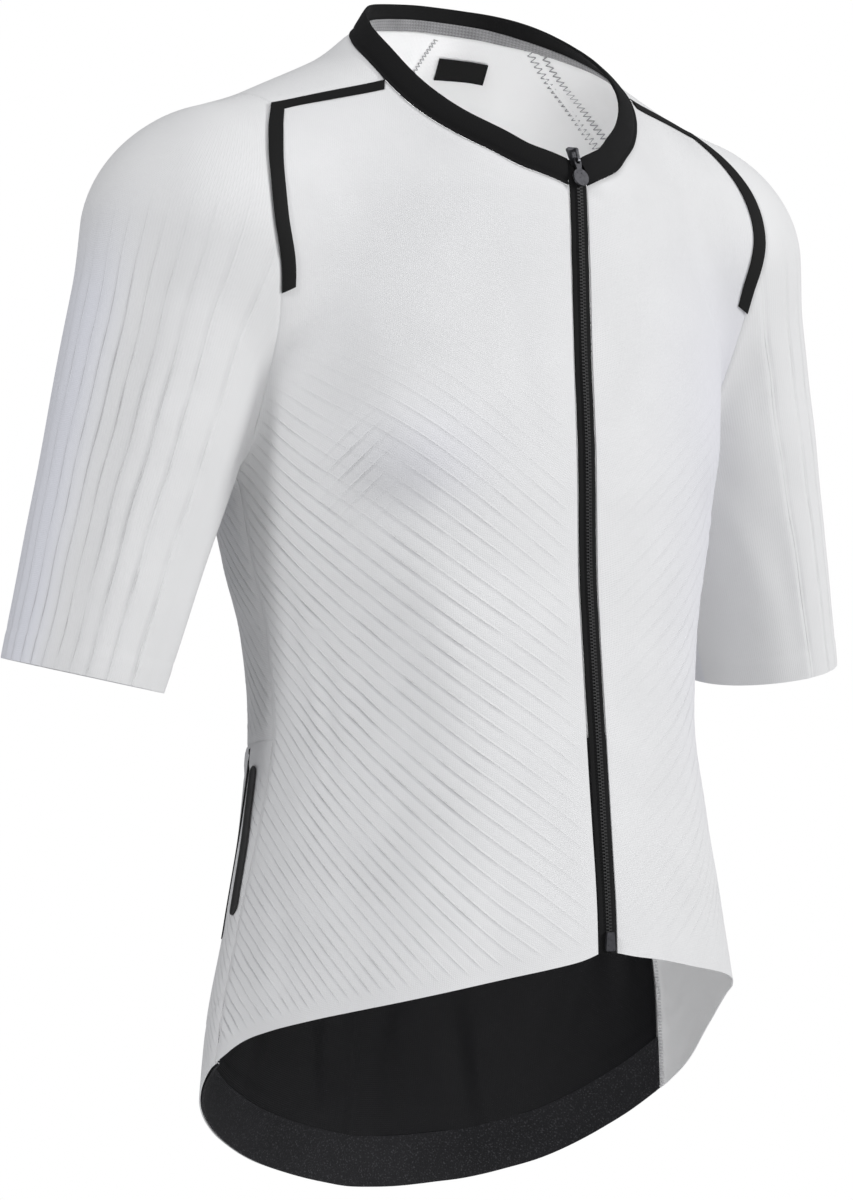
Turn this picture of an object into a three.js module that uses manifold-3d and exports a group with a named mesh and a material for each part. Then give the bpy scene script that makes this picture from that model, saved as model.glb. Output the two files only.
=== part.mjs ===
// A short-sleeved, full-zip cycling jersey that keeps the hollow form in which it is worn.
// Millimetres, +Z up, the wearer faces -Y, the wearer's right side is -X. The origin is in the
// neck opening, level with the top of the shoulders, where a wearer carries the garment.
//
// One smooth form (trunk, shoulders and upper arms of a general figure) gives the outer face of
// the cloth. Every piece of cloth is a grid between its own seams, laid on that form and given a
// wall. Trims lie on the panels' own points, moved out.
import * as THREE from 'three';
import { mergeVertices } from 'three/addons/utils/BufferGeometryUtils.js';
import Module from 'manifold-3d';

const wasm = await Module();
wasm.setup();

// ---------------------------------------------------------------- named sizes
const WALL = 1.5;            // cloth wall
const SEAM = 0.36;           // each piece stops this far short of its seam line
const TRIM_GAP = 0.35;       // clearance under what lies on a panel
const TRIM = 0.9;            // thickness of bonded tapes
const ZIP_HALF = 7.4;        // half of the black zip strip that shows between the fronts
const ZIP_WALL = 1.3;
const COLLAR_WIDE = 17.0;    // collar band, seam to top edge, in front
const COLLAR_LESS = 4.5;     // and this much less at centre back
const COLLAR_WALL = 2.2;
const BAND_HIGH = 32.0;      // gripper band of the back hem
const LINING_GAP = 0.9;      // the dark ground panel and the gripper band lie this far inside the pocket panel
const SIDE_SEAM = 97;        // degrees round from centre front, at the hem

// trunk sections: half width, depth to the front, depth to the back, power of the superellipse
const TRUNK = [
  { z: -720, half: 178, front: 136, back: 128, power: 2.30 },
  { z: -560, half: 168, front: 138, back: 106, power: 2.30 },
  { z: -500, half: 157, front: 136, back: 96, power: 2.30 },
  { z: -440, half: 143, front: 131, back: 98, power: 2.35 },
  { z: -384, half: 134, front: 126, back: 104, power: 2.40 },
  { z: -330, half: 139, front: 121, back: 106, power: 2.40 },
  { z: -290, half: 149, front: 118, back: 113, power: 2.40 },
  { z: -230, half: 161, front: 117, back: 121, power: 2.40 },
  { z: -160, half: 168, front: 113, back: 124, power: 2.30 },
  { z: -110, half: 150, front: 111, back: 118, power: 2.15 },
  { z: -70, half: 126, front: 109, back: 103, power: 2.05 },
  { z: -40, half: 98, front: 97, back: 84, power: 2.00 },
  { z: -10, half: 76, front: 76, back: 66, power: 2.00 },
  { z: 25, half: 64, front: 54, back: 52, power: 2.00 },
  { z: 75, half: 58, front: 42, back: 46, power: 2.00 },
];
// shoulder and upper arm as tapered rounds, for the wearer's left; the right is mirrored
const SHOULDER = { from: [55, 6, -50], to: [165, 11, -86], r0: 74, r1: 64, deep: 1.0 };
const ARM = { from: [188, 13, -104], to: [259, 26, -360], r0: 64, r1: 46, deep: 1.07 };
const CUFF_NORMAL = [0.19, 0.10, -0.976];
const CUFF_BACK = -8.5;      // cuff plane, measured from the arm's lower end along its normal

// lower edge: height by direction round the body, for the wearer's right and left
const HEM = [
  { round: 0, right: -513, left: -513 },
  { round: 16, right: -520, left: -518 },
  { round: 30, right: -526, left: -524 },
  { round: 50, right: -537, left: -533 },
  { round: 72, right: -551, left: -551 },
  { round: 87, right: -563, left: -590 },
  { round: 107, right: -598, left: -632 },
  { round: 126, right: -628, left: -660 },
  { round: 145, right: -650, left: -671 },
  { round: 165, right: -664, left: -673 },
  { round: 180, right: -671, left: -671 },
];
// neck seam, from centre front to centre back (wearer's left)
const NECK = [
  { x: 0, y: -109, z: -67 }, { x: 28, y: -104, z: -60 }, { x: 50, y: -91, z: -48 },
  { x: 68, y: -76, z: -37 }, { x: 80, y: -62, z: -26 }, { x: 88, y: -48, z: -14 },
  { x: 91, y: -33, z: -1 }, { x: 89, y: -14, z: 13 }, { x: 82, y: 6, z: 24 },
  { x: 67, y: 25, z: 32 }, { x: 46, y: 39, z: 37 }, { x: 23, y: 46, z: 39 }, { x: 0, y: 48, z: 40 },
];
const NECK_FRONT_END = 5.5;  // row of NECK where the front raglan seam starts
const NECK_BACK_END = 9.0;   // row of NECK where the back raglan seam starts
// raglan seam from its outer corner down to the underarm, front and back (wearer's left)
const ARMHOLE_FRONT = [
  { x: 157, y: -20, z: -24 }, { x: 168, y: -31, z: -38 }, { x: 177, y: -41, z: -54 },
  { x: 182, y: -48, z: -69 }, { x: 184, y: -51, z: -84 }, { x: 181, y: -52, z: -103 },
  { x: 176, y: -49, z: -123 }, { x: 173, y: -45, z: -140 }, { x: 171, y: -38, z: -165 },
  { x: 169, y: -27, z: -193 }, { x: 166, y: -11, z: -218 }, { x: 162, y: 10, z: -235 },
];
const ARMHOLE_BACK = [
  { x: 152, y: 62, z: -24 }, { x: 165, y: 76, z: -45 }, { x: 171, y: 86, z: -70 },
  { x: 170, y: 89, z: -100 }, { x: 160, y: 83, z: -133 }, { x: 156, y: 69, z: -165 },
  { x: 157, y: 52, z: -197 }, { x: 159, y: 33, z: -222 }, { x: 162, y: 10, z: -235 },
];
// cells of the grids
const CELLS = {
  side: 13, armhole: 9, neckFront: 7, saddleFront: 4, neckSleeve: 4, saddleBack: 4, neckBack: 5,
  sleeve: 10, band: 2, ground: 7, backWaist: 6,
};
const POCKET_TOP = { side: -390, centre: -410 };
const TAPE_LAST_ROW = 4;     // the shoulder tape runs this many whole armhole cells down from the corner
const TAPE_PART = 0.5;       // and this part of the next
const TAPE_WIDE = 10.0;
const NECK_TAPE_WIDE = 7.0, NECK_TAPE_UP = 3.8;   // the tape lies over the neck seam, this far up the collar band
// patches on the panels' grids, in cells from the wearer's right (u) and from the bottom (v)
const LABEL = { u0: 10.3, u1: 12.6, v0: 14.02, v1: 14.46 };
// strips on the pocket panel: middle line from bottom to top, and half width, in cells
const SIDE_TAB = { u0: 0.25, u1: 0.72, half: 0.18, v0: 4.55, v1: 8.42 };
const POCKET_LINE = { u0: 1.02, u1: 1.18, half: 0.075, v0: 4.35, v1: 8.90 };
// zip slider and its pull tab
const SLIDER = { top: -45.5, high: 12.0, wide: 8.4, plate: 1.6, archWide: 1.7, archOut: 3.4, archBar: 1.0 };
const PULL = { wide: 4.8, thick: 1.3, discRadius: 5.4, reach: 17.0, slotWide: 2.5, slotHigh: 2.6, topBar: 1.3 };
const ZIP_BOX = { bottom: -511.5, high: 11.0, wide: 6.8, thick: 1.9 };

// ---------------------------------------------------------------- small vector helpers
const add = (a, b) => [a[0] + b[0], a[1] + b[1], a[2] + b[2]];
const sub = (a, b) => [a[0] - b[0], a[1] - b[1], a[2] - b[2]];
const mul = (a, s) => [a[0] * s, a[1] * s, a[2] * s];
const dot = (a, b) => a[0] * b[0] + a[1] * b[1] + a[2] * b[2];
const len = (a) => Math.sqrt(dot(a, a));
const unit = (a) => mul(a, 1 / (len(a) || 1));
const mix = (a, b, t) => [a[0] + (b[0] - a[0]) * t, a[1] + (b[1] - a[1]) * t, a[2] + (b[2] - a[2]) * t];
const cross = (a, b) => [a[1] * b[2] - a[2] * b[1], a[2] * b[0] - a[0] * b[2], a[0] * b[1] - a[1] * b[0]];
const flip = (p) => [-p[0], p[1], p[2]];
const xyz = (row) => [row.x, row.y, row.z];

// monotone cubic through a table (keys rise)
function smooth(keys, values, at) {
  const n = keys.length;
  const h = [], d = [], m = new Array(n).fill(0);
  for (let i = 0; i < n - 1; i++) { h.push(keys[i + 1] - keys[i]); d.push((values[i + 1] - values[i]) / h[i]); }
  for (let i = 1; i < n - 1; i++) {
    if (d[i - 1] * d[i] > 0) {
      const w1 = 2 * h[i] + h[i - 1], w2 = h[i] + 2 * h[i - 1];
      m[i] = (w1 + w2) / (w1 / d[i - 1] + w2 / d[i]);
    }
  }
  m[0] = d[0]; m[n - 1] = d[n - 2];
  const x = Math.min(Math.max(at, keys[0]), keys[n - 1]);
  let i = 0;
  while (i < n - 2 && x >= keys[i + 1]) i++;
  const t = (x - keys[i]) / h[i];
  return (1 + 2 * t) * (1 - t) ** 2 * values[i] + t * (1 - t) ** 2 * h[i] * m[i]
    + t * t * (3 - 2 * t) * values[i + 1] + t * t * (t - 1) * h[i] * m[i + 1];
}
const column = (table, name) => table.map((row) => row[name]);
const TRUNK_Z = column(TRUNK, 'z');
const TRUNK_COLUMNS = ['half', 'front', 'back', 'power'].map((name) => column(TRUNK, name));

// ---------------------------------------------------------------- the form
function trunk(p) {
  const z = p[2];
  const a = smooth(TRUNK_Z, TRUNK_COLUMNS[0], z);
  const b = smooth(TRUNK_Z, TRUNK_COLUMNS[p[1] < 0 ? 1 : 2], z);
  const n = smooth(TRUNK_Z, TRUNK_COLUMNS[3], z);
  const rho = (Math.abs(p[0] / a) ** n + Math.abs(p[1] / b) ** n) ** (1 / n);
  const r = Math.hypot(p[0], p[1]);
  return rho > 0.2 ? r * (1 - 1 / rho) : -Math.min(a, b) * 0.8;
}
function round(p, limb) {
  const s = [1, 1 / limb.deep, 1];
  const q = [Math.abs(p[0]), p[1] * s[1], p[2]];
  const a = [limb.from[0], limb.from[1] * s[1], limb.from[2]];
  const b = [limb.to[0], limb.to[1] * s[1], limb.to[2]];
  const ab = sub(b, a);
  const t = Math.min(Math.max(dot(sub(q, a), ab) / dot(ab, ab), 0), 1);
  return len(sub(q, mix(a, b, t))) - (limb.r0 + (limb.r1 - limb.r0) * t);
}
const join = (a, b, k) => {
  const h = Math.max(k - Math.abs(a - b), 0) / k;
  return Math.min(a, b) - h * h * k * 0.25;
};
function form(p) {
  const down = Math.min(Math.max((-120 - p[2]) / 90, 0), 1);
  const k = 38 - 24 * down * down * (3 - 2 * down);
  return join(join(trunk(p), round(p, SHOULDER), 38), round(p, ARM), k);
}
function outward(p) {
  const e = 0.4;
  return unit([
    form([p[0] + e, p[1], p[2]]) - form([p[0] - e, p[1], p[2]]),
    form([p[0], p[1] + e, p[2]]) - form([p[0], p[1] - e, p[2]]),
    form([p[0], p[1], p[2] + e]) - form([p[0], p[1], p[2] - e])]);
}
function settle(p) {            // nearest point of the form
  let q = p;
  for (let i = 0; i < 14; i++) {
    const f = form(q);
    if (Math.abs(f) < 1e-4) break;
    q = sub(q, mul(outward(q), f * 0.85));
  }
  return q;
}
function cast(from, way) {      // from inside the form, out to its face
  let t = 0;
  for (let i = 0; i < 300; i++) {
    const f = form(add(from, mul(way, t)));
    if (f > -0.002) break;
    t += Math.min(Math.max(-f * 0.5, 0.002), 12);
  }
  return add(from, mul(way, t));
}
const roundCast = (degrees, z) => {
  const a = degrees * Math.PI / 180;
  return cast([0, 0, z], [Math.sin(a), -Math.cos(a), 0]);
};
const hemZ = (degrees) => smooth(column(HEM, 'round'), column(HEM, degrees < 0 ? 'right' : 'left'), Math.abs(degrees));
const faceAt = (x, z) => {      // front face at a given x and height
  let y = 0;
  for (let i = 0; i < 300; i++) {
    const f = form([x, y, z]);
    if (f > -0.002) break;
    y -= Math.min(Math.max(-f * 0.5, 0.002), 12);
  }
  return [x, y, z];
};

// a curve through table points, sampled evenly between two rows of the table
function along(points, count, first = 0, last = points.length - 1) {
  const keys = points.map((_, i) => i);
  const at = (t) => [0, 1, 2].map((k) => smooth(keys, points.map((p) => p[k]), t));
  const fine = 60, travel = [0];
  let before = at(first);
  for (let i = 1; i <= fine; i++) {
    const now = at(first + (last - first) * i / fine);
    travel.push(travel[i - 1] + len(sub(now, before)));
    before = now;
  }
  const out = [];
  for (let i = 0; i <= count; i++) {
    const want = travel[fine] * i / count;
    let j = 0;
    while (j < fine - 1 && travel[j + 1] < want) j++;
    const t = (want - travel[j]) / (travel[j + 1] - travel[j]);
    out.push(at(first + (last - first) * (j + t) / fine));
  }
  return out;
}
const straight = (a, b, count) => Array.from({ length: count + 1 }, (_, i) => mix(a, b, i / count));
const onForm = (points) => points.map(settle);

// ---------------------------------------------------------------- seam lines, wearer's left
const neck = NECK.map(xyz);
const neckFront = onForm(along(neck, CELLS.neckFront, 0, NECK_FRONT_END));
const neckSleeve = onForm(along(neck, CELLS.neckSleeve, NECK_FRONT_END, NECK_BACK_END));
const neckBack = onForm(along(neck, CELLS.neckBack, NECK_BACK_END, NECK.length - 1));
const armFront = onForm(along(ARMHOLE_FRONT.map(xyz), CELLS.armhole));
const armBack = onForm(along(ARMHOLE_BACK.map(xyz), CELLS.armhole));
armBack[CELLS.armhole] = armFront[CELLS.armhole];
const saddleFront = onForm(straight(neckFront[CELLS.neckFront], armFront[0], CELLS.saddleFront));
const saddleBack = onForm(straight(neckBack[0], armBack[0], CELLS.saddleBack));
neckFront[0] = faceAt(ZIP_HALF, -67);

const underarm = armFront[CELLS.armhole];
const underarmRound = Math.atan2(underarm[0], -underarm[1]) * 180 / Math.PI;
// side seam from a height up to the underarm; side is +1 for the wearer's left
function sidePoint(side, t) {
  const z0 = hemZ(side * SIDE_SEAM);
  const z = z0 + (underarm[2] - z0) * t;
  if (t > 0.9999) return side > 0 ? underarm : flip(underarm);
  return roundCast(side * (SIDE_SEAM + (underarmRound - SIDE_SEAM) * t), z);
}
const forSide = (side, points) => (side > 0 ? points : points.map(flip));

// ---------------------------------------------------------------- grids
// a grid between four edges: bottom and top run along u, left and right along v
function between(bottom, top, left, right) {
  const nu = bottom.length - 1, nv = left.length - 1;
  const grid = [];
  for (let j = 0; j <= nv; j++) {
    const v = j / nv, row = [];
    for (let i = 0; i <= nu; i++) {
      const u = i / nu;
      const edge = i === 0 ? left[j] : i === nu ? right[j] : j === 0 ? bottom[i] : j === nv ? top[i] : null;
      if (edge) { row.push(edge); continue; }
      const ruled = add(mix(bottom[i], top[i], v), mix(left[j], right[j], u));
      const corners = mix(mix(bottom[0], bottom[nu], u), mix(top[0], top[nu], u), v);
      row.push(settle(sub(ruled, corners)));
    }
    grid.push(row);
  }
  return grid;
}
// even a grid out: each inner point drifts to the middle of its neighbours and back to the form
function even(grid, passes) {
  for (let pass = 0; pass < passes; pass++) {
    for (let j = 1; j < grid.length - 1; j++) {
      for (let i = 1; i < grid[0].length - 1; i++) {
        const mean = mul(add(add(grid[j][i - 1], grid[j][i + 1]), add(grid[j - 1][i], grid[j + 1][i])), 0.25);
        grid[j][i] = settle(mix(grid[j][i], mean, 0.6));
      }
    }
  }
  return grid;
}
// pull the rim of a grid in by the seam allowance; sides that stay are named
function trim(grid, sides = 'bottom top left right', by = SEAM) {
  const nv = grid.length - 1, nu = grid[0].length - 1;
  const out = grid.map((row) => row.slice());
  const pull = (j, i, j2, i2) => { out[j][i] = add(out[j][i], mul(unit(sub(grid[j2][i2], grid[j][i])), by)); };
  for (let i = 0; i <= nu; i++) {
    if (sides.includes('bottom')) pull(0, i, 1, i);
    if (sides.includes('top')) pull(nv, i, nv - 1, i);
  }
  for (let j = 0; j <= nv; j++) {
    if (sides.includes('left')) pull(j, 0, j, 1);
    if (sides.includes('right')) pull(j, nu, j, nu - 1);
  }
  return out;
}
// a sheet is points and four-sided cells; a grid is the plain kind
function sheetOf(grid, ring = false) {
  const nu = grid[0].length, cols = ring ? nu : nu - 1;
  const cells = [];
  for (let j = 0; j < grid.length - 1; j++) {
    for (let i = 0; i < cols; i++) {
      const k = (i + 1) % nu;
      cells.push([j * nu + i, j * nu + k, (j + 1) * nu + k, (j + 1) * nu + i]);
    }
  }
  return { points: grid.flat(), cells };
}
// the wall of a sheet: outer face moved out by lift, inner face a wall further in; each cell is
// split so that a panel's face lies low and a trim's lies high
function wallOfSheet({ points, cells }, { lift = 0, wall = WALL, high = false } = {}) {
  const position = [], index = [], n = points.length;
  const out = points.map(outward);
  for (const depth of [lift, lift - wall]) points.forEach((p, i) => position.push(...add(p, mul(out[i], depth))));
  const edges = new Map();
  for (const cell of cells) {
    const [a, b, c, d] = cell;
    const rise = dot(sub(mix(points[a], points[c], 0.5), mix(points[b], points[d], 0.5)), out[a]);
    const halves = (rise < 0) !== high ? [[a, b, c], [a, c, d]] : [[b, c, d], [b, d, a]];
    for (const [p, q, r] of halves) index.push(p, q, r, n + p, n + r, n + q);
    cell.forEach((p, k) => {
      const q = cell[(k + 1) % 4];
      if (edges.has(`${q},${p}`)) edges.delete(`${q},${p}`); else edges.set(`${p},${q}`, [p, q]);
    });
  }
  for (const [p, q] of edges.values()) index.push(q, p, n + p, q, n + p, n + q);
  return solid(position, index);
}
const wallOf = (grid, options = {}) => wallOfSheet(sheetOf(grid, options.ring), options);
function solid(position, index) {
  // faces point out: the volume is positive
  let volume = 0;
  const p = (i) => [position[3 * i], position[3 * i + 1], position[3 * i + 2]];
  for (let i = 0; i < index.length; i += 3) volume += dot(p(index[i]), cross(p(index[i + 1]), p(index[i + 2])));
  if (volume < 0) for (let i = 0; i < index.length; i += 3) [index[i + 1], index[i + 2]] = [index[i + 2], index[i + 1]];
  const geometry = new THREE.BufferGeometry();
  geometry.setAttribute('position', new THREE.Float32BufferAttribute(position, 3));
  geometry.setIndex(index);
  geometry.computeVertexNormals();
  return geometry;
}

// ---------------------------------------------------------------- scene
const jersey = new THREE.Group();
jersey.name = 'cycling_jersey';
function piece(name, geometry, color, roughness, metalness = 0, parent = jersey) {
  const mesh = new THREE.Mesh(geometry, new THREE.MeshStandardMaterial({ color, roughness, metalness }));
  mesh.name = name;
  parent.add(mesh);
  return mesh;
}
const WHITE = 0xe9e9ec, BLACK = 0x0b0b0c, GREY = 0x2c2d30;

// ---- fronts: from the zip round to the side seam, up to neck, raglan seam and underarm
const FRONT_U = CELLS.neckFront + CELLS.saddleFront;
const FRONT_V = CELLS.side + CELLS.armhole;
const fronts = {};
for (const side of [-1, 1]) {
  const bottom = [];
  for (let i = 0; i <= FRONT_U; i++) {
    const a = SIDE_SEAM * i / FRONT_U;
    bottom.push(i === 0 ? faceAt(side * ZIP_HALF, hemZ(0)) : roundCast(side * a, hemZ(side * a)));
  }
  const top = forSide(side, [...neckFront, ...saddleFront.slice(1)]);
  const right = [];
  for (let j = 0; j <= CELLS.side; j++) right.push(sidePoint(side, j / CELLS.side));
  right.push(...forSide(side, armFront.slice(0, -1).reverse()));
  const left = [];
  for (let j = 0; j <= FRONT_V; j++) {
    const z = bottom[0][2] + (top[0][2] - bottom[0][2]) * j / FRONT_V;
    left.push(j === 0 ? bottom[0] : j === FRONT_V ? top[0] : faceAt(side * ZIP_HALF, z));
  }
  const grid = even(between(bottom, top, left, right), 4);
  fronts[side] = grid;
  piece(side < 0 ? 'front_right' : 'front_left', wallOf(trim(grid, 'top left right')), WHITE, 0.75);
}

// ---- back: one grid from hem to neck, cut into gripper band, dark ground panel and upper back
const BACK_V = CELLS.band + CELLS.ground + CELLS.backWaist + CELLS.armhole;
const backTop = [
  ...forSide(-1, saddleBack).slice().reverse(),
  ...forSide(-1, neckBack).slice(1),
  ...neckBack.slice(0, -1).reverse(),
  ...saddleBack.slice(1)];
const BACK_U = backTop.length - 1;
const backRound = (i) => { const t = i / BACK_U; return SIDE_SEAM + (360 - 2 * SIDE_SEAM) * (1 - t); };
// heights of the horizontal cuts at column i: hem, band top, pocket top
function cutsAt(i) {
  const a = backRound(i), signed = a > 180 ? a - 360 : a;
  const hem = hemZ(signed);
  const mid = Math.sin(Math.PI * i / BACK_U);
  return [hem, hem + BAND_HIGH, POCKET_TOP.side + (POCKET_TOP.centre - POCKET_TOP.side) * mid];
}
const turn = (i, z) => roundCast(backRound(i) > 180 ? backRound(i) - 360 : backRound(i), z);
const sideTurn = (side, z) => sidePoint(side, (z - hemZ(side * SIDE_SEAM)) / (underarm[2] - hemZ(side * SIDE_SEAM)));
const cutRow = (k, i) => {
  const z = cutsAt(i)[k];
  return i === 0 ? sideTurn(-1, z) : i === BACK_U ? sideTurn(1, z) : turn(i, z);
};
const rowOf = (k) => Array.from({ length: BACK_U + 1 }, (_, i) => cutRow(k, i));
const sideEdge = (side, z0, z1, count) => Array.from({ length: count + 1 }, (_, j) => sideTurn(side, z0 + (z1 - z0) * j / count));
const rows = [rowOf(0), rowOf(1), rowOf(2)];
const endZ = (k, side) => cutsAt(side < 0 ? 0 : BACK_U)[k];
const bandGrid = between(rows[0], rows[1],
  sideEdge(-1, endZ(0, -1), endZ(1, -1), CELLS.band), sideEdge(1, endZ(0, 1), endZ(1, 1), CELLS.band));
const groundGrid = between(rows[1], rows[2],
  sideEdge(-1, endZ(1, -1), endZ(2, -1), CELLS.ground), sideEdge(1, endZ(1, 1), endZ(2, 1), CELLS.ground));
const upperSide = (side) => [
  ...sideEdge(side, endZ(2, side), underarm[2], CELLS.backWaist).slice(0, -1),
  side > 0 ? underarm : flip(underarm),
  ...forSide(side, armBack.slice(0, -1).reverse())];
const upperGrid = even(between(rows[2], backTop, upperSide(-1), upperSide(1)), 8);
// the pocket panel is the outer face from hem to waist; the band and the ground panel line it
const pocketGrid = [...bandGrid, ...groundGrid.slice(1)];
const LINING = -WALL - LINING_GAP;
piece('hem_band', wallOf(trim(bandGrid, 'top left right'), { lift: LINING, wall: 1.8 }), GREY, 0.85);
piece('back_lower', wallOf(trim(groundGrid), { lift: LINING }), BLACK, 0.8);
piece('back_upper', wallOf(trim(upperGrid)), WHITE, 0.75);
piece('back_pocket', wallOf(trim(pocketGrid, 'top left right')), WHITE, 0.75);

// ---- sleeves: a tube from the raglan loop and the neck to the cuff
const armWay = unit(sub(ARM.to, ARM.from));
const cuffPoint = add(ARM.to, mul(unit(CUFF_NORMAL), CUFF_BACK));
const spine = [SHOULDER.from, ARM.from, ARM.to];
const spineLen = [len(sub(spine[1], spine[0])), len(sub(spine[2], spine[1]))];
function spineAt(s) {
  if (s <= spineLen[0]) return mix(spine[0], spine[1], s / spineLen[0]);
  return mix(spine[1], spine[2], (s - spineLen[0]) / spineLen[1]);
}
function nearestOnSpine(p) {
  let best = 0, far = Infinity;
  for (let i = 0; i <= 400; i++) {
    const s = (spineLen[0] + spineLen[1]) * i / 400, d = len(sub(p, spineAt(s)));
    if (d < far) { far = d; best = s; }
  }
  return best;
}
// over the shoulder from the front corner of the raglan seam to the back one
const shoulderArc = onForm(straight(armFront[0], armBack[0], CELLS.neckSleeve));
// the tongue of the sleeve that runs up to the neck between the raglan seams
const tongue = between(shoulderArc, neckSleeve, saddleFront.slice().reverse(), saddleBack.slice().reverse());
const sleeveLoop = [
  ...armFront.slice().reverse(),                 // underarm up to the front corner
  ...shoulderArc.slice(1),                       // over the shoulder to the back corner
  ...armBack.slice(1, -1)];                      // and down towards the underarm
const SLEEVE_U = sleeveLoop.length;
const sideWay = unit(cross(armWay, [0, 1, 0])); // across the arm, away from the body or towards it
const outWay = sideWay[0] > 0 ? sideWay : mul(sideWay, -1);
function cuffRing() {
  // cuff directions follow the loop's length, underarm to underarm
  const travel = [0];
  for (let i = 1; i <= SLEEVE_U; i++) travel.push(travel[i - 1] + Math.max(len(sub(sleeveLoop[i % SLEEVE_U], sleeveLoop[i - 1])), 1));
  const ring = [];
  for (let i = 0; i < SLEEVE_U; i++) {
    const t = travel[i] / travel[SLEEVE_U];
    const a = 2 * Math.PI * t;                   // 0 at the underarm, rising round the front
    const way = add(mul(outWay, -Math.cos(a)), [0, -Math.sin(a), 0]);
    // from the axis, where the cuff plane meets it along this direction
    let p = add(ARM.from, mul(armWay, len(sub(ARM.to, ARM.from)) - 12));
    for (let k = 0; k < 12; k++) {
      const hit = cast(p, unit(way));
      const off = dot(sub(hit, cuffPoint), unit(CUFF_NORMAL));
      p = add(p, mul(armWay, -off / dot(armWay, unit(CUFF_NORMAL))));
    }
    ring.push(cast(p, unit(way)));
  }
  return ring;
}
const cuff = cuffRing();
const sleeveGrid = [];
for (let j = 0; j <= CELLS.sleeve; j++) {
  const row = [];
  for (let i = 0; i < SLEEVE_U; i++) {
    const a = sleeveLoop[i], b = cuff[i];
    if (j === 0) { row.push(a); continue; }
    if (j === CELLS.sleeve) { row.push(b); continue; }
    const t = j / CELLS.sleeve;
    const s0 = nearestOnSpine(a), s1 = nearestOnSpine(b);
    const m = spineAt(s0 + (s1 - s0) * t);
    const way = unit(mix(unit(sub(a, spineAt(s0))), unit(sub(b, spineAt(s1))), t));
    row.push(cast(m, way));
  }
  sleeveGrid.push(row);
}
// even the rows out: each inner point drifts to the middle of its neighbours and back to the form
for (let pass = 0; pass < 6; pass++) {
  for (let j = 1; j < CELLS.sleeve; j++) {
    for (let i = 0; i < SLEEVE_U; i++) {
      const l = sleeveGrid[j][(i + SLEEVE_U - 1) % SLEEVE_U], r = sleeveGrid[j][(i + 1) % SLEEVE_U];
      const mean = mul(add(add(l, r), add(sleeveGrid[j - 1][i], sleeveGrid[j + 1][i])), 0.25);
      sleeveGrid[j][i] = settle(mix(sleeveGrid[j][i], mean, 0.5));
    }
  }
}
// tube and tongue as one sheet, its seam edges pulled in towards the cells behind them
const sleeveSheet = sheetOf(sleeveGrid, true);
{
  const first = CELLS.armhole, wide = CELLS.neckSleeve + 1;
  const id = (j, i) => (j === 0 ? first + i : SLEEVE_U * (CELLS.sleeve + 1) + (j - 1) * wide + i);
  for (let j = 1; j < tongue.length; j++) sleeveSheet.points.push(...tongue[j]);
  for (let j = 0; j < tongue.length - 1; j++) {
    for (let i = 0; i < wide - 1; i++) sleeveSheet.cells.push([id(j, i + 1), id(j, i), id(j + 1, i), id(j + 1, i + 1)]);
  }
  const seamEdge = new Set();
  for (let i = 0; i < SLEEVE_U; i++) if (i <= first || i >= first + wide - 1) seamEdge.add(i);
  for (let j = 1; j < tongue.length; j++) for (let i = 0; i < wide; i++) {
    if (i === 0 || i === wide - 1 || j === tongue.length - 1) seamEdge.add(id(j, i));
  }
  const pull = new Map();
  for (const i of seamEdge) pull.set(i, [0, 0, 0]);
  for (const cell of sleeveSheet.cells) {
    cell.forEach((p, k) => {
      if (!seamEdge.has(p)) return;
      for (const q of [cell[(k + 1) % 4], cell[(k + 3) % 4]]) {
        if (!seamEdge.has(q)) pull.set(p, add(pull.get(p), unit(sub(sleeveSheet.points[q], sleeveSheet.points[p]))));
      }
      const across = cell[(k + 2) % 4];
      if (len(pull.get(p)) === 0 && !seamEdge.has(across)) {
        pull.set(p, mul(unit(sub(sleeveSheet.points[across], sleeveSheet.points[p])), 1.4));
      }
    });
  }
  for (const [i, way] of pull) if (len(way) > 0) sleeveSheet.points[i] = add(sleeveSheet.points[i], mul(unit(way), SEAM * 1.25));
}
for (const side of [-1, 1]) {
  const sheet = { points: forSide(side, sleeveSheet.points), cells: sleeveSheet.cells };
  piece(side < 0 ? 'sleeve_right' : 'sleeve_left', wallOfSheet(sheet), WHITE, 0.7);
}

// ---- collar: a band from the neck seam towards the neck, open at the zip
const neckLine = [...neckFront, ...neckSleeve.slice(1), ...neckBack.slice(1)];
const collarLine = [...neckLine, ...neckLine.slice(0, -1).reverse().map(flip)];
const COLLAR_ROWS = 3;
const collarGrid = [];
for (let j = 0; j < COLLAR_ROWS; j++) {
  collarGrid.push(collarLine.map((p, i) => {
    const k = Math.min(1, Math.max(0, (Math.min(i, collarLine.length - 1 - i) - 6) / 8));
    const w = (COLLAR_WIDE - COLLAR_LESS * k * k * (3 - 2 * k)) * j / (COLLAR_ROWS - 1) + SEAM + 0.1;
    const before = collarLine[Math.max(i - 1, 0)], after = collarLine[Math.min(i + 1, collarLine.length - 1)];
    const n = outward(p), side = unit(sub(after, before));
    let up = unit(cross(n, side));
    if (dot(up, [0, 0, 1]) < 0 && dot(up, sub([0, -20, 60], p)) < 0) up = mul(up, -1);
    if (i === 0 || i === collarLine.length - 1) up = unit([0, up[1], up[2]]);
    return settle(add(p, mul(up, w)));
  }));
}
for (const row of collarGrid) {                  // ends stop at the zip
  row[0] = faceAt(ZIP_HALF, row[0][2]);
  row[row.length - 1] = faceAt(-ZIP_HALF, row[row.length - 1][2]);
}
piece('collar', wallOf(trim(collarGrid, 'left right'), { lift: 0.4, wall: COLLAR_WALL }), BLACK, 0.8);

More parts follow.
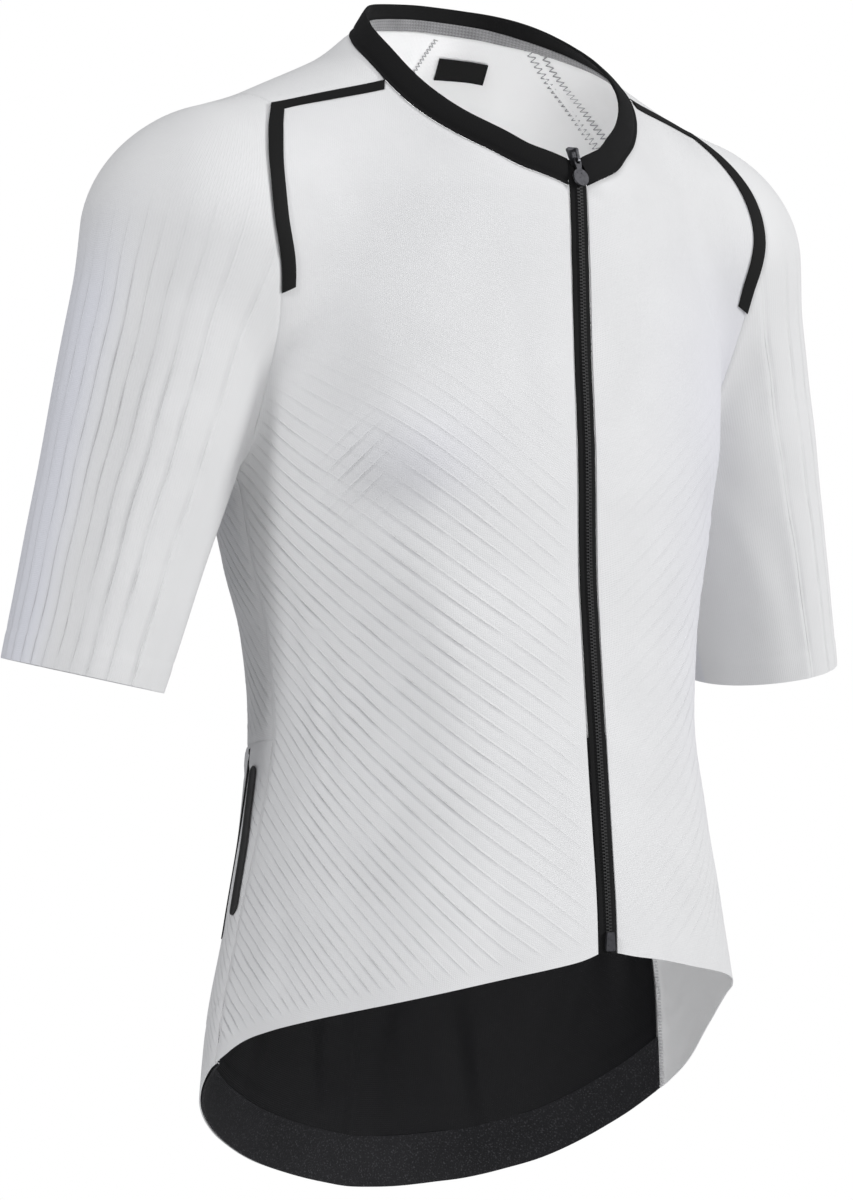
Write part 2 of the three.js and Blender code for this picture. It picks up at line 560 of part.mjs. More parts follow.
// ---- zip: two tapes from hem to collar top
const zipTop = collarGrid[COLLAR_ROWS - 1][0][2];
const zipBottom = hemZ(0);
for (const side of [-1, 1]) {
  const grid = [];
  for (let j = 0; j <= FRONT_V + 1; j++) {
    const z = j > FRONT_V ? zipTop - 0.3 : fronts[side][j][0][2];
    grid.push([faceAt(side * 0.2, z), faceAt(side * (ZIP_HALF - SEAM), z)]);
  }
  piece(side < 0 ? 'zip_tape_right' : 'zip_tape_left', wallOf(grid, { wall: ZIP_WALL }), BLACK, 0.75);
}

// ---- trims on the panels
// a part of a grid, cut along the grid's own lines
const lines = (a, b) => {
  const out = [a];
  for (let k = Math.floor(a) + 1; k < b; k++) out.push(k);
  out.push(b);
  return out;
};
const pointOf = (grid, u, v) => {
  const i = Math.min(Math.floor(u), grid[0].length - 2), j = Math.min(Math.floor(v), grid.length - 2);
  return mix(mix(grid[j][i], grid[j][i + 1], u - i), mix(grid[j + 1][i], grid[j + 1][i + 1], u - i), v - j);
};
const patch = (grid, { u0, u1, v0, v1 }) => lines(v0, v1).map((v) => lines(u0, u1).map((u) => pointOf(grid, u, v)));
// a strip that leans within one column of cells
const strap = (grid, { u0, u1, half, v0, v1 }) => lines(v0, v1).map((v) => {
  const u = u0 + (u1 - u0) * (v - v0) / (v1 - v0);
  return [pointOf(grid, u - half, v), pointOf(grid, u + half, v)];
});
// shoulder tape: along the raglan seam from the neck to its corner, then down the armhole
const stepIn = (from, to, by) => mix(from, to, by / len(sub(to, from)));
for (const side of [-1, 1]) {
  const g = fronts[side], nv = FRONT_V, nu = FRONT_U;
  const strip = [];
  const across = (j) => [stepIn(g[j][nu], g[j][nu - 1], TAPE_WIDE), stepIn(g[j][nu], g[j][nu - 1], 0.5)];
  const below = across(nv - TAPE_LAST_ROW - 1), last = across(nv - TAPE_LAST_ROW);
  strip.push(last.map((p, k) => mix(p, below[k], TAPE_PART)));
  for (let j = nv - TAPE_LAST_ROW; j < nv; j++) strip.push(across(j));
  const a = (by) => stepIn(g[nv][nu], g[nv][nu - 1], by), b = (by) => stepIn(g[nv][nu], g[nv - 1][nu], by);
  const corner = (by) => add(a(by), sub(b(by), g[nv][nu]));
  strip.push([corner(TAPE_WIDE * 0.92), corner(0.5)]);
  for (let i = nu - 1; i > CELLS.neckFront; i--) {
    strip.push([stepIn(g[nv][i], g[nv - 1][i], TAPE_WIDE * 0.8), stepIn(g[nv][i], g[nv - 1][i], 0.5)]);
  }
  const end = CELLS.neckFront, short = 1.2;
  const edge = [stepIn(g[nv][end], g[nv - 1][end], TAPE_WIDE * 0.8), stepIn(g[nv][end], g[nv - 1][end], 0.5)];
  strip.push(edge.map((p, k) => stepIn(p, strip[strip.length - 1][k], short)));
  piece(side < 0 ? 'shoulder_tape_right' : 'shoulder_tape_left',
    wallOf(strip, { lift: TRIM_GAP + TRIM, wall: TRIM, high: true }), BLACK, 0.7);
}
// neck tape: inside, under the collar seam, from one raglan seam round the back to the other
{
  const half = [];
  const top = tongue.length - 1;
  const band = (k) => collarGrid[1][CELLS.neckFront + k];
  for (let k = 0; k <= CELLS.neckSleeve; k++) half.push([tongue[top][k], tongue[top - 1][k], band(k)]);
  half[CELLS.neckSleeve] = [neckBack[0], saddleBack[1], band(CELLS.neckSleeve)];
  const nv = upperGrid.length - 1;
  for (let k = 1; k <= CELLS.neckBack; k++) {
    const i = BACK_U - CELLS.saddleBack - k;
    half.push([upperGrid[nv][i], upperGrid[nv - 1][i], band(CELLS.neckSleeve + k)]);
  }
  half[0] = half[0].map((p, k) => stepIn(p, half[1][k], 1.5));
  const strip = half.map(([p, q, up]) => [stepIn(p, up, NECK_TAPE_UP), p, stepIn(p, q, NECK_TAPE_WIDE - NECK_TAPE_UP)]);
  const whole = [...strip, ...strip.slice(0, -1).reverse().map((pair) => pair.map(flip))];
  piece('neck_tape', wallOf(whole, { lift: -WALL - 1.1, wall: 0.8 }), 0x77787c, 0.8);
}
piece('neck_label', wallOf(patch(upperGrid, LABEL), { lift: -WALL - 1.35, wall: 0.7 }), BLACK, 0.6);
piece('side_tab', wallOf(strap(pocketGrid, SIDE_TAB), { lift: TRIM_GAP + TRIM, wall: TRIM, high: true }), BLACK, 0.5);
piece('pocket_line', wallOf(strap(pocketGrid, POCKET_LINE), { lift: TRIM_GAP + TRIM, wall: TRIM, high: true }), BLACK, 0.5);

// ---- zip hardware
function manifoldOf(geometry) {
  const bare = geometry.clone();
  bare.deleteAttribute('normal');
  bare.deleteAttribute('uv');
  const merged = mergeVertices(bare, 1e-3);
  return new wasm.Manifold(new wasm.Mesh({
    numProp: 3, vertProperties: new Float32Array(merged.attributes.position.array),
    triVerts: new Uint32Array(merged.index.array),
  }));
}
function geometryOf(manifold) {
  const mesh = manifold.getMesh();
  return solid(Array.from(mesh.vertProperties), Array.from(mesh.triVerts));
}
// a flat outline in X and Z, thick along Y, its back face on the plane y = 0
function plate(shape, thick) {
  const g = new THREE.ExtrudeGeometry(shape, { depth: thick, bevelEnabled: false, curveSegments: 10 });
  g.rotateX(Math.PI / 2);
  return g;
}
function roundedOutline(wideTop, wideBottom, high, radius) {
  const s = new THREE.Shape();
  const t = wideTop / 2, b = wideBottom / 2;
  s.moveTo(-b + radius, 0);
  s.lineTo(b - radius, 0);
  s.quadraticCurveTo(b, 0, b, radius);
  s.lineTo(t, high - radius);
  s.quadraticCurveTo(t, high, t - radius, high);
  s.lineTo(-t + radius, high);
  s.quadraticCurveTo(-t, high, -t, high - radius);
  s.lineTo(-b, radius);
  s.quadraticCurveTo(-b, 0, -b + radius, 0);
  return s;
}
const zipFace = (z) => faceAt(0, z)[1];
// the slider and its pull lie along the slope of the zip
const PULL_LOW = SLIDER.top - SLIDER.high - 14;
const slope = Math.atan2(zipFace(SLIDER.top) - zipFace(PULL_LOW), SLIDER.top - PULL_LOW);
const zipHead = new THREE.Group();
{
  const out = [0, -Math.cos(slope), Math.sin(slope)];
  const base = [0, zipFace(SLIDER.top), SLIDER.top];
  let proud = 0;
  for (let z = PULL_LOW; z <= SLIDER.top; z += 1) proud = Math.max(proud, dot(sub([0, zipFace(z), z], base), out));
  const at = add(add(base, mul(out, proud + 0.4)), mul([0, Math.sin(slope), Math.cos(slope)], -SLIDER.high));
  zipHead.position.set(...at);
  zipHead.rotation.x = -slope;
  jersey.add(zipHead);
}
{
  const body = plate(roundedOutline(SLIDER.wide, SLIDER.wide * 0.66, SLIDER.high, 1.4), SLIDER.plate);
  const arch = new THREE.Shape();              // side view: along -Y it is out, along Z it is up
  const foot = 1.3, span = 6.2, out = SLIDER.archOut, bar = SLIDER.archBar;
  arch.moveTo(-0.6, 0);
  arch.lineTo(out * 0.7, 0);
  arch.quadraticCurveTo(out, 0, out, out * 0.4);
  arch.lineTo(out, span + 2 * foot - out * 0.4);
  arch.quadraticCurveTo(out, span + 2 * foot, out * 0.7, span + 2 * foot);
  arch.lineTo(-0.6, span + 2 * foot);
  arch.lineTo(-0.6, span + foot);
  arch.lineTo(out - bar, span + foot);
  arch.lineTo(out - bar, foot);
  arch.lineTo(-0.6, foot);
  arch.closePath();
  const a = new THREE.ExtrudeGeometry(arch, { depth: SLIDER.archWide, bevelEnabled: false, curveSegments: 6 });
  // shape x -> -Y, shape y -> Z, depth -> X
  a.applyMatrix4(new THREE.Matrix4().makeBasis(
    new THREE.Vector3(0, -1, 0), new THREE.Vector3(0, 0, 1), new THREE.Vector3(-1, 0, 0)));
  a.translate(SLIDER.archWide / 2, -SLIDER.plate, 1.6);
  const g = geometryOf(manifoldOf(body).add(manifoldOf(a)));
  piece('zip_slider', g, 0x1c1c1e, 0.35, 0.8, zipHead);
}
const PIVOT = { y: -SLIDER.plate - (SLIDER.archOut - SLIDER.archBar) / 2, z: 1.6 + 1.3 + 1.15 };
{
  const s = new THREE.Shape();
  const w = PULL.wide / 2, top = PULL.topBar / 2, r = PULL.discRadius, low = -(PULL.reach - r);
  const meet = low + Math.sqrt(r * r - w * w * 0.72 * 0.72);
  s.moveTo(-w, top);
  s.lineTo(-w, -3.2);
  s.lineTo(-w * 0.72, meet);
  const a0 = Math.atan2(meet - low, -w * 0.72), a1 = Math.atan2(meet - low, w * 0.72);
  s.absarc(0, low, r, a0, a1 + 2 * Math.PI, false);
  s.lineTo(w, -3.2);
  s.lineTo(w, top);
  s.closePath();
  const slot = new THREE.Path();
  slot.moveTo(-PULL.slotWide / 2, -top);
  slot.lineTo(-PULL.slotWide / 2, -top - PULL.slotHigh);
  slot.lineTo(PULL.slotWide / 2, -top - PULL.slotHigh);
  slot.lineTo(PULL.slotWide / 2, -top);
  slot.closePath();
  s.holes.push(slot);
  const g = plate(s, PULL.thick);
  g.translate(0, PULL.thick / 2, 0);
  const mesh = piece('zip_pull', g, 0x2a2a2d, 0.3, 0.85, zipHead);
  mesh.position.set(0, PIVOT.y, PIVOT.z);
}
{
  const y = Math.min(zipFace(ZIP_BOX.bottom), zipFace(ZIP_BOX.bottom + ZIP_BOX.high)) - 0.35;
  const mesh = piece('zip_box', plate(roundedOutline(ZIP_BOX.wide * 0.8, ZIP_BOX.wide, ZIP_BOX.high, 1.0), ZIP_BOX.thick), 0x1c1c1e, 0.4, 0.6);
  mesh.position.set(0, y, ZIP_BOX.bottom);
}

export default jersey;
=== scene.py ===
import bpy
import math
import numpy as np
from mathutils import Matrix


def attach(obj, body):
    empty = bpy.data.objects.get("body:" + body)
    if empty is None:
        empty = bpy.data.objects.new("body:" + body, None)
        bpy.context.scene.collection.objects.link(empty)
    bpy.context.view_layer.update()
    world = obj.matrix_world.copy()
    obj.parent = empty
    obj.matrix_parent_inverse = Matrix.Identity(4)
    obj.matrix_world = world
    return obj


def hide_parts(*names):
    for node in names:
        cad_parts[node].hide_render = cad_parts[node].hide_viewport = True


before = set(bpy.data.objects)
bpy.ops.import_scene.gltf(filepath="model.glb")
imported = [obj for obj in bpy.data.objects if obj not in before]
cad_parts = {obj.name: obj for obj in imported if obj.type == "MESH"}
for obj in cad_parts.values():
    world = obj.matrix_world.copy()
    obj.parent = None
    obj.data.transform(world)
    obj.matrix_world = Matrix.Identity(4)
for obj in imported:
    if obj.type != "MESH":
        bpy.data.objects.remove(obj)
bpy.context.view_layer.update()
rng = np.random.default_rng(7)

# ------------------------------------------------------------------ sizes, in millimetres
CLOTH = 0.75                     # cloth thickness that shows
ZIP_HALF = 7.4
COLLAR_WIDE = 17.0
BAND_HIGH = 32.0
LINING = -2.4                    # outer face of the ground panel and the band, inside the pocket panel
SIDE_SEAM = 97.0

TRUNK = np.array([               # z, half width, front, back, power
    [-720, 178, 136, 128, 2.30], [-560, 168, 138, 106, 2.30], [-500, 157, 136, 96, 2.30],
    [-440, 143, 131, 98, 2.35], [-384, 134, 126, 104, 2.40], [-330, 139, 121, 106, 2.40],
    [-290, 149, 118, 113, 2.40], [-230, 161, 117, 121, 2.40], [-160, 168, 113, 124, 2.30],
    [-110, 150, 111, 118, 2.15], [-70, 126, 109, 103, 2.05], [-40, 98, 97, 84, 2.00],
    [-10, 76, 76, 66, 2.00], [25, 64, 54, 52, 2.00], [75, 58, 42, 46, 2.00]], float)
SHOULDER = dict(a=(55, 6, -50), b=(165, 11, -86), r0=74, r1=64, deep=1.0)
ARM = dict(a=(188, 13, -104), b=(259, 26, -360), r0=64, r1=46, deep=1.07)
CUFF_NORMAL = np.array([0.19, 0.10, -0.976])
CUFF_BACK = -8.5
HEM = np.array([                 # degrees round, right, left
    [0, -513, -513], [16, -520, -518], [30, -526, -524], [50, -537, -533], [72, -551, -551],
    [87, -563, -590], [107, -598, -632], [126, -628, -660], [145, -650, -671],
    [165, -664, -673], [180, -671, -671]], float)
NECK = np.array([
    [0, -109, -67], [28, -104, -60], [50, -91, -48], [68, -76, -37], [80, -62, -26], [88, -48, -14],
    [91, -33, -1], [89, -14, 13], [82, 6, 24], [67, 25, 32], [46, 39, 37], [23, 46, 39], [0, 48, 40]], float)
NECK_FRONT_END, NECK_BACK_END = 5.5, 9.0
ARMHOLE_FRONT = np.array([
    [157, -20, -24], [168, -31, -38], [177, -41, -54], [182, -48, -69], [184, -51, -84], [181, -52, -103],
    [176, -49, -123], [173, -45, -140], [171, -38, -165], [169, -27, -193], [166, -11, -218], [162, 10, -235]], float)
ARMHOLE_BACK = np.array([
    [152, 62, -24], [165, 76, -45], [171, 86, -70], [170, 89, -100], [160, 83, -133], [156, 69, -165],
    [157, 52, -197], [159, 33, -222], [162, 10, -235]], float)
C_SIDE, C_ARM, C_NECK_F, C_SAD_F, C_NECK_S, C_SAD_B, C_NECK_B = 13, 9, 7, 4, 4, 4, 5
C_SLEEVE, C_BAND, C_GROUND, C_WAIST = 10, 2, 7, 6
POCKET_TOP_SIDE, POCKET_TOP_CENTRE = -390.0, -410.0


# ------------------------------------------------------------------ the form
def slopes(x, y):
    h = np.diff(x)
    d = np.diff(y) / h
    m = np.zeros(len(x))
    for i in range(1, len(x) - 1):
        if d[i - 1] * d[i] > 0:
            w1, w2 = 2 * h[i] + h[i - 1], h[i] + 2 * h[i - 1]
            m[i] = (w1 + w2) / (w1 / d[i - 1] + w2 / d[i])
    m[0], m[-1] = d[0], d[-1]
    return m


class Smooth:
    def __init__(self, x, y):
        self.x, self.y = np.asarray(x, float), np.asarray(y, float)
        self.m = slopes(self.x, self.y)

    def __call__(self, at):
        x = np.clip(at, self.x[0], self.x[-1])
        i = np.clip(np.searchsorted(self.x, x, side="right") - 1, 0, len(self.x) - 2)
        h = self.x[i + 1] - self.x[i]
        t = (x - self.x[i]) / h
        return ((1 + 2 * t) * (1 - t) ** 2 * self.y[i] + t * (1 - t) ** 2 * h * self.m[i]
                + t * t * (3 - 2 * t) * self.y[i + 1] + t * t * (t - 1) * h * self.m[i + 1])


T_HALF, T_FRONT, T_BACK, T_POWER = [Smooth(TRUNK[:, 0], TRUNK[:, k]) for k in (1, 2, 3, 4)]
HEM_RIGHT, HEM_LEFT = Smooth(HEM[:, 0], HEM[:, 1]), Smooth(HEM[:, 0], HEM[:, 2])


def trunk(P):
    z = P[:, 2]
    a, n = T_HALF(z), T_POWER(z)
    b = np.where(P[:, 1] < 0, T_FRONT(z), T_BACK(z))
    rho = (np.abs(P[:, 0] / a) ** n + np.abs(P[:, 1] / b) ** n) ** (1 / n)
    r = np.hypot(P[:, 0], P[:, 1])
    return np.where(rho > 0.2, r * (1 - 1 / np.maximum(rho, 1e-6)), -np.minimum(a, b) * 0.8)


def limb(P, L):
    s = np.array([1, 1 / L["deep"], 1])
    q = np.stack([np.abs(P[:, 0]), P[:, 1] * s[1], P[:, 2]], 1)
    a, b = np.array(L["a"], float) * s, np.array(L["b"], float) * s
    ab = b - a
    t = np.clip((q - a) @ ab / (ab @ ab), 0, 1)
    return np.linalg.norm(q - (a + t[:, None] * ab), axis=1) - (L["r0"] + (L["r1"] - L["r0"]) * t)


def join(a, b, k):
    h = np.maximum(k - np.abs(a - b), 0) / k
    return np.minimum(a, b) - h * h * k * 0.25


def form(P):
    down = np.clip((-120 - P[:, 2]) / 90, 0, 1)
    k = 38 - 24 * down * down * (3 - 2 * down)
    return join(join(trunk(P), limb(P, SHOULDER), 38.0), limb(P, ARM), k)


def unit(V):
    return V / np.maximum(np.linalg.norm(V, axis=-1, keepdims=True), 1e-12)


def outward(P, e=0.4):
    E = np.eye(3) * e
    return unit(np.stack([form(P + E[k]) - form(P - E[k]) for k in range(3)], 1))


def settle(P, times=14):
    Q = np.array(P, float).reshape(-1, 3).copy()
    for _ in range(times):
        f = form(Q)
        if np.abs(f).max() < 1e-3:
            break
        Q -= outward(Q) * (f * 0.85)[:, None]
    return Q.reshape(np.shape(P))


def cast(start, way):
    S, W = np.atleast_2d(start).astype(float), np.atleast_2d(way).astype(float)
    t = np.zeros(len(S))
    live = np.ones(len(S), bool)
    for _ in range(300):
        f = form(S + W * t[:, None])
        live &= f <= -0.002
        if not live.any():
            break
        t += np.where(live, np.clip(-f * 0.5, 0.002, 12), 0)
    return S + W * t[:, None]


def round_cast(degrees, z):
    a = np.radians(np.atleast_1d(degrees).astype(float))
    z = np.broadcast_to(z, a.shape).astype(float)
    return cast(np.stack([0 * a, 0 * a, z], 1), np.stack([np.sin(a), -np.cos(a), 0 * a], 1))


def hem_z(degrees):
    d = np.asarray(degrees, float)
    return np.where(d < 0, HEM_RIGHT(np.abs(d)), HEM_LEFT(np.abs(d)))


def face_at(x, z):
    x, z = np.broadcast_arrays(np.atleast_1d(x).astype(float), np.atleast_1d(z).astype(float))
    return cast(np.stack([x, 0 * x, z], 1), np.tile([0.0, -1.0, 0.0], (len(x), 1)))


def along(points, count, first=0.0, last=None):
    n = len(points)
    last = n - 1 if last is None else last
    f = [Smooth(np.arange(n), points[:, k]) for k in range(3)]
    t = first + (last - first) * np.arange(61) / 60
    fine = np.stack([g(t) for g in f], 1)
    travel = np.concatenate([[0], np.cumsum(np.linalg.norm(np.diff(fine, axis=0), axis=1))])
    want = np.interp(travel[-1] * np.arange(count + 1) / count, travel, t)
    return np.stack([g(want) for g in f], 1)


def straight(a, b, count):
    return a + (b - a) * (np.arange(count + 1) / count)[:, None]


FLIP = np.array([-1.0, 1, 1])


def for_side(side, pts):
    return pts if side > 0 else pts * FLIP


neck_front = settle(along(NECK, C_NECK_F, 0, NECK_FRONT_END))
neck_sleeve = settle(along(NECK, C_NECK_S, NECK_FRONT_END, NECK_BACK_END))
neck_back = settle(along(NECK, C_NECK_B, NECK_BACK_END, len(NECK) - 1))
arm_front = settle(along(ARMHOLE_FRONT, C_ARM))
arm_back = settle(along(ARMHOLE_BACK, C_ARM))
arm_back[-1] = arm_front[-1]
saddle_front = settle(straight(neck_front[-1], arm_front[0], C_SAD_F))
saddle_back = settle(straight(neck_back[0], arm_back[0], C_SAD_B))
neck_front[0] = face_at(ZIP_HALF, -67)[0]
underarm = arm_front[-1]
underarm_round = math.degrees(math.atan2(underarm[0], -underarm[1]))


def side_point(side, t):
    t = np.atleast_1d(np.asarray(t, float))
    z0 = float(hem_z(side * SIDE_SEAM))
    out = round_cast(side * (SIDE_SEAM + (underarm_round - SIDE_SEAM) * t), z0 + (underarm[2] - z0) * t)
    out[t > 0.9999] = underarm if side > 0 else underarm * FLIP
    return out


def between(bottom, top, left, right):
    nu, nv = len(bottom) - 1, len(left) - 1
    u, v = np.meshgrid(np.arange(nu + 1) / nu, np.arange(nv + 1) / nv)
    u, v = u[..., None], v[..., None]
    ruled = bottom[None] * (1 - v) + top[None] * v + left[:, None] * (1 - u) + right[:, None] * u
    corners = ((bottom[0] * (1 - u) + bottom[-1] * u) * (1 - v) + (top[0] * (1 - u) + top[-1] * u) * v)
    g = ruled - corners
    g[1:-1, 1:-1] = settle(g[1:-1, 1:-1])
    g[0], g[-1], g[:, 0], g[:, -1] = bottom, top, left, right
    return g


def even(g, passes):
    g = g.copy()
    for _ in range(passes):
        for j in range(1, g.shape[0] - 1):
            for i in range(1, g.shape[1] - 1):
                mean = (g[j, i - 1] + g[j, i + 1] + g[j - 1, i] + g[j + 1, i]) * 0.25
                g[j, i] = g[j, i] * 0.4 + mean * 0.6
            g[j, 1:-1] = settle(g[j, 1:-1], 6)
    return g


# ---- fine grids: smooth interpolation of the coarse one in its own cells, laid on the form
def weights(n, per, breaks=(), ring=False):
    """rows give a point at a fraction of a cell from the n + 1 coarse points"""
    cells = n
    rows = []
    stops = set(breaks) | (set() if ring else {0, n})
    count = n if ring else n + 1
    for i in range(cells):
        for k in range(per):
            rows.append((i, k / per))
    if not ring:
        rows.append((cells - 1, 1.0))
    W = np.zeros((len(rows), count))
    for r, (i, t) in enumerate(rows):
        a, b = i % count, (i + 1) % count
        h00, h10 = 2 * t ** 3 - 3 * t * t + 1, t ** 3 - 2 * t * t + t
        h01, h11 = -2 * t ** 3 + 3 * t * t, t ** 3 - t * t
        W[r, a] += h00
        W[r, b] += h01
        if i in stops:
            W[r, b] += h10
            W[r, a] -= h10
        else:
            W[r, b] += h10 * 0.5
            W[r, (i - 1) % count] -= h10 * 0.5
        if i + 1 in stops:
            W[r, b] += h11
            W[r, a] -= h11
        else:
            W[r, (i + 2) % count] += h11 * 0.5
            W[r, a] -= h11 * 0.5
    return W


def fine(g, per_u, per_v, breaks_u=(), breaks_v=(), ring=False, lay=True):
    Wu = weights(g.shape[1] if ring else g.shape[1] - 1, per_u, breaks_u, ring)
    Wv = weights(g.shape[0] - 1, per_v, breaks_v)
    out = np.einsum("ai,ijk,bj->abk", Wv, g, Wu)
    return settle(out, 8) if lay else out


def bump(x, centre, wide):
    return np.exp(-((x - centre) / wide) ** 2)


def step(x, lo, hi):
    t = np.clip((x - lo) / (hi - lo), 0, 1)
    return t * t * (3 - 2 * t)


def noise(P, size, seed, octaves=2):
    """smooth noise from a few plane waves with fixed random directions"""
    r = np.random.default_rng(seed)
    out = np.zeros(P.shape[:-1])
    for o in range(octaves):
        for _ in range(7):
            way = unit(r.normal(size=3))
            out += np.sin(P @ way * (2 * math.pi / (size / (o + 1)) * r.uniform(0.6, 1.5)) + r.uniform(0, 6.28)) / (o + 1)
    return out / 5.0


# ------------------------------------------------------------------ meshes
def travel_uv(g, ring=False):
    """arc lengths along u and v, in metres"""
    du = np.linalg.norm(np.diff(g, axis=1), axis=2)
    dv = np.linalg.norm(np.diff(g, axis=0), axis=2)
    s = np.concatenate([np.zeros((g.shape[0], 1)), np.cumsum(du, 1)], 1)
    mid = s[:, -1:] * 0.5
    s = (s - mid) if not ring else s
    t = np.concatenate([np.zeros((1, g.shape[1])), np.cumsum(dv, 0)], 0)
    return s / 1000, t / 1000


def shell(name, g, height=None, thick=CLOTH, ring=False, material=None, body="jersey", normals=None, sink=0.0,
          base=0.0, back_material=None, uv_grid=None, fields=None):
    """a thin closed wall over the grid g: outer face moved out by height, inner face below it"""
    nv, nu = g.shape[:2]
    N = (outward(g.reshape(-1, 3)) if normals is None else normals.reshape(-1, 3)).reshape(g.shape)
    H = np.zeros((nv, nu)) if height is None else height
    H = H + base
    outer = g + N * H[..., None]
    T = thick if np.ndim(thick) else np.full((nv, nu), float(thick))
    inner = outer - N * T[..., None]
    n = nv * nu
    P = np.concatenate([outer.reshape(-1, 3), inner.reshape(-1, 3)]) / 1000
    cols = nu if ring else nu - 1
    J, I = np.meshgrid(np.arange(nv - 1), np.arange(cols), indexing="ij")
    K = (I + 1) % nu
    a, b, c, d = J * nu + I, J * nu + K, (J + 1) * nu + K, (J + 1) * nu + I
    quads = np.stack([a, b, c, d], -1).reshape(-1, 4)
    # outer face turns out
    p = outer.reshape(-1, 3)
    q = quads[len(quads) // 2]
    turn = np.cross(p[q[1]] - p[q[0]], p[q[2]] - p[q[0]]) @ N.reshape(-1, 3)[q[0]]
    if turn < 0:
        quads = quads[:, ::-1]
    faces = [quads, quads[:, ::-1] + n]
    rims = []
    def rim(line):
        line = np.asarray(line)
        rims.append(np.stack([line[:-1], line[1:], line[1:] + n, line[:-1] + n], 1))
    idx = np.arange(n).reshape(nv, nu)
    closed = lambda row: np.concatenate([row, row[:1]]) if ring else row
    if turn < 0:
        rim(closed(idx[0])), rim(closed(idx[-1])[::-1])
        if not ring:
            rim(idx[::-1, 0]), rim(idx[:, -1])
    else:
        rim(closed(idx[0])[::-1]), rim(closed(idx[-1]))
        if not ring:
            rim(idx[:, 0]), rim(idx[::-1, -1])
    faces.append(np.concatenate(rims))
    allf = np.concatenate(faces)
    me = bpy.data.meshes.new(name)
    me.from_pydata(P.tolist(), [], allf.tolist())
    me.update()
    s, t = travel_uv(g, ring) if uv_grid is None else uv_grid
    st = np.stack([s.reshape(-1), t.reshape(-1)], 1)
    st = np.concatenate([st, st])
    layer = me.uv_layers.new(name="UVMap")
    loops = np.zeros(len(me.loops), np.int32)
    me.loops.foreach_get("vertex_index", loops)
    uv = st[loops]
    if ring:                       # the closing column of cells runs on instead of back
        per = len(quads)
        for block in range(2):
            fs = np.arange(per).reshape(nv - 1, cols)[:, -1] + block * per
            for f in fs:
                pl = me.polygons[f]
                for li in pl.loop_indices:
                    vi = loops[li] % n
                    if vi % nu == 0:
                        j = vi // nu
                        uv[li, 0] = s[j, -1] + (s[j, -1] - s[j, -2])
    layer.data.foreach_set("uv", uv.astype(np.float32).reshape(-1))
    if fields:
        for key, value in fields.items():
            at = me.attributes.new(key, "FLOAT", "POINT")
            v = np.concatenate([value.reshape(-1), value.reshape(-1)]).astype(np.float32)
            at.data.foreach_set("value", v)
    me.polygons.foreach_set("use_smooth", [True] * len(me.polygons))
    ob = bpy.data.objects.new(name, me)
    bpy.context.scene.collection.objects.link(ob)
    if material:
        me.materials.append(material)
    if back_material:
        me.materials.append(back_material)
        index = np.zeros(len(allf), np.int32)
        index[len(quads):2 * len(quads)] = 1
        me.polygons.foreach_set("material_index", index)
    # crisp rim
    sharp = np.zeros(len(me.edges), bool)
    ev = np.zeros(len(me.edges) * 2, np.int32)
    me.edges.foreach_get("vertices", ev)
    ev = ev.reshape(-1, 2)
    ring_edges = set()
    for r in rims:
        for row in r:
            ring_edges.add((min(row[0], row[1]), max(row[0], row[1])))
            ring_edges.add((min(row[2], row[3]), max(row[2], row[3])))
    lo, hi = ev.min(1), ev.max(1)
    keys = lo.astype(np.int64) * (2 * n) + hi
    want = np.array([x * (2 * n) + y for x, y in ring_edges], np.int64)
    sharp = np.isin(keys, want)
    at = me.attributes.new("sharp_edge", "BOOLEAN", "EDGE")
    at.data.foreach_set("value", sharp)
    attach(ob, body)
    return ob


def tube(name, path, radius, material, sides=6, body="jersey", closed=False):
    """a thread or cord of that radius along the points, in millimetres"""
    path = np.asarray(path, float)
    n = len(path)
    tangent = unit(np.gradient(path, axis=0))
    N = outward(path)
    side = unit(np.cross(tangent, N))
    up = np.cross(side, tangent)
    a = np.arange(sides) * 2 * math.pi / sides
    P = path[:, None] + radius * (np.cos(a)[None, :, None] * side[:, None] + np.sin(a)[None, :, None] * up[:, None])
    P = P.reshape(-1, 3) / 1000
    faces = []
    for j in range(n - 1):
        for i in range(sides):
            k = (i + 1) % sides
            faces.append([j * sides + i, j * sides + k, (j + 1) * sides + k, (j + 1) * sides + i])
    faces.append(list(range(sides))[::-1])
    faces.append([(n - 1) * sides + i for i in range(sides)])
    me = bpy.data.meshes.new(name)
    me.from_pydata(P.tolist(), [], faces)
    me.polygons.foreach_set("use_smooth", [True] * len(me.polygons))
    me.materials.append(material)
    ob = bpy.data.objects.new(name, me)
    bpy.context.scene.collection.objects.link(ob)
    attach(ob, body)
    return ob


def many(name, blocks, material, body="jersey"):
    """one mesh from many small closed blocks, each (points in mm, faces)"""
    P, F, at = [], [], 0
    for pts, faces in blocks:
        P.append(np.asarray(pts, float) / 1000)
        F += [[at + i for i in f] for f in faces]
        at += len(pts)
    me = bpy.data.meshes.new(name)
    me.from_pydata(np.concatenate(P).tolist(), [], F)
    me.materials.append(material)
    ob = bpy.data.objects.new(name, me)
    bpy.context.scene.collection.objects.link(ob)
    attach(ob, body)
    return ob


# ------------------------------------------------------------------ materials
def new_material(name):
    m = bpy.data.materials.new(name)
    m.use_nodes = True
    nt = m.node_tree
    nt.nodes.clear()
    out = nt.nodes.new("ShaderNodeOutputMaterial")
    bsdf = nt.nodes.new("ShaderNodeBsdfPrincipled")
    nt.links.new(bsdf.outputs[0], out.inputs[0])
    return m, nt, bsdf


def node(nt, kind, **values):
    x = nt.nodes.new(kind)
    for k, v in values.items():
        setattr(x, k, v)
    return x


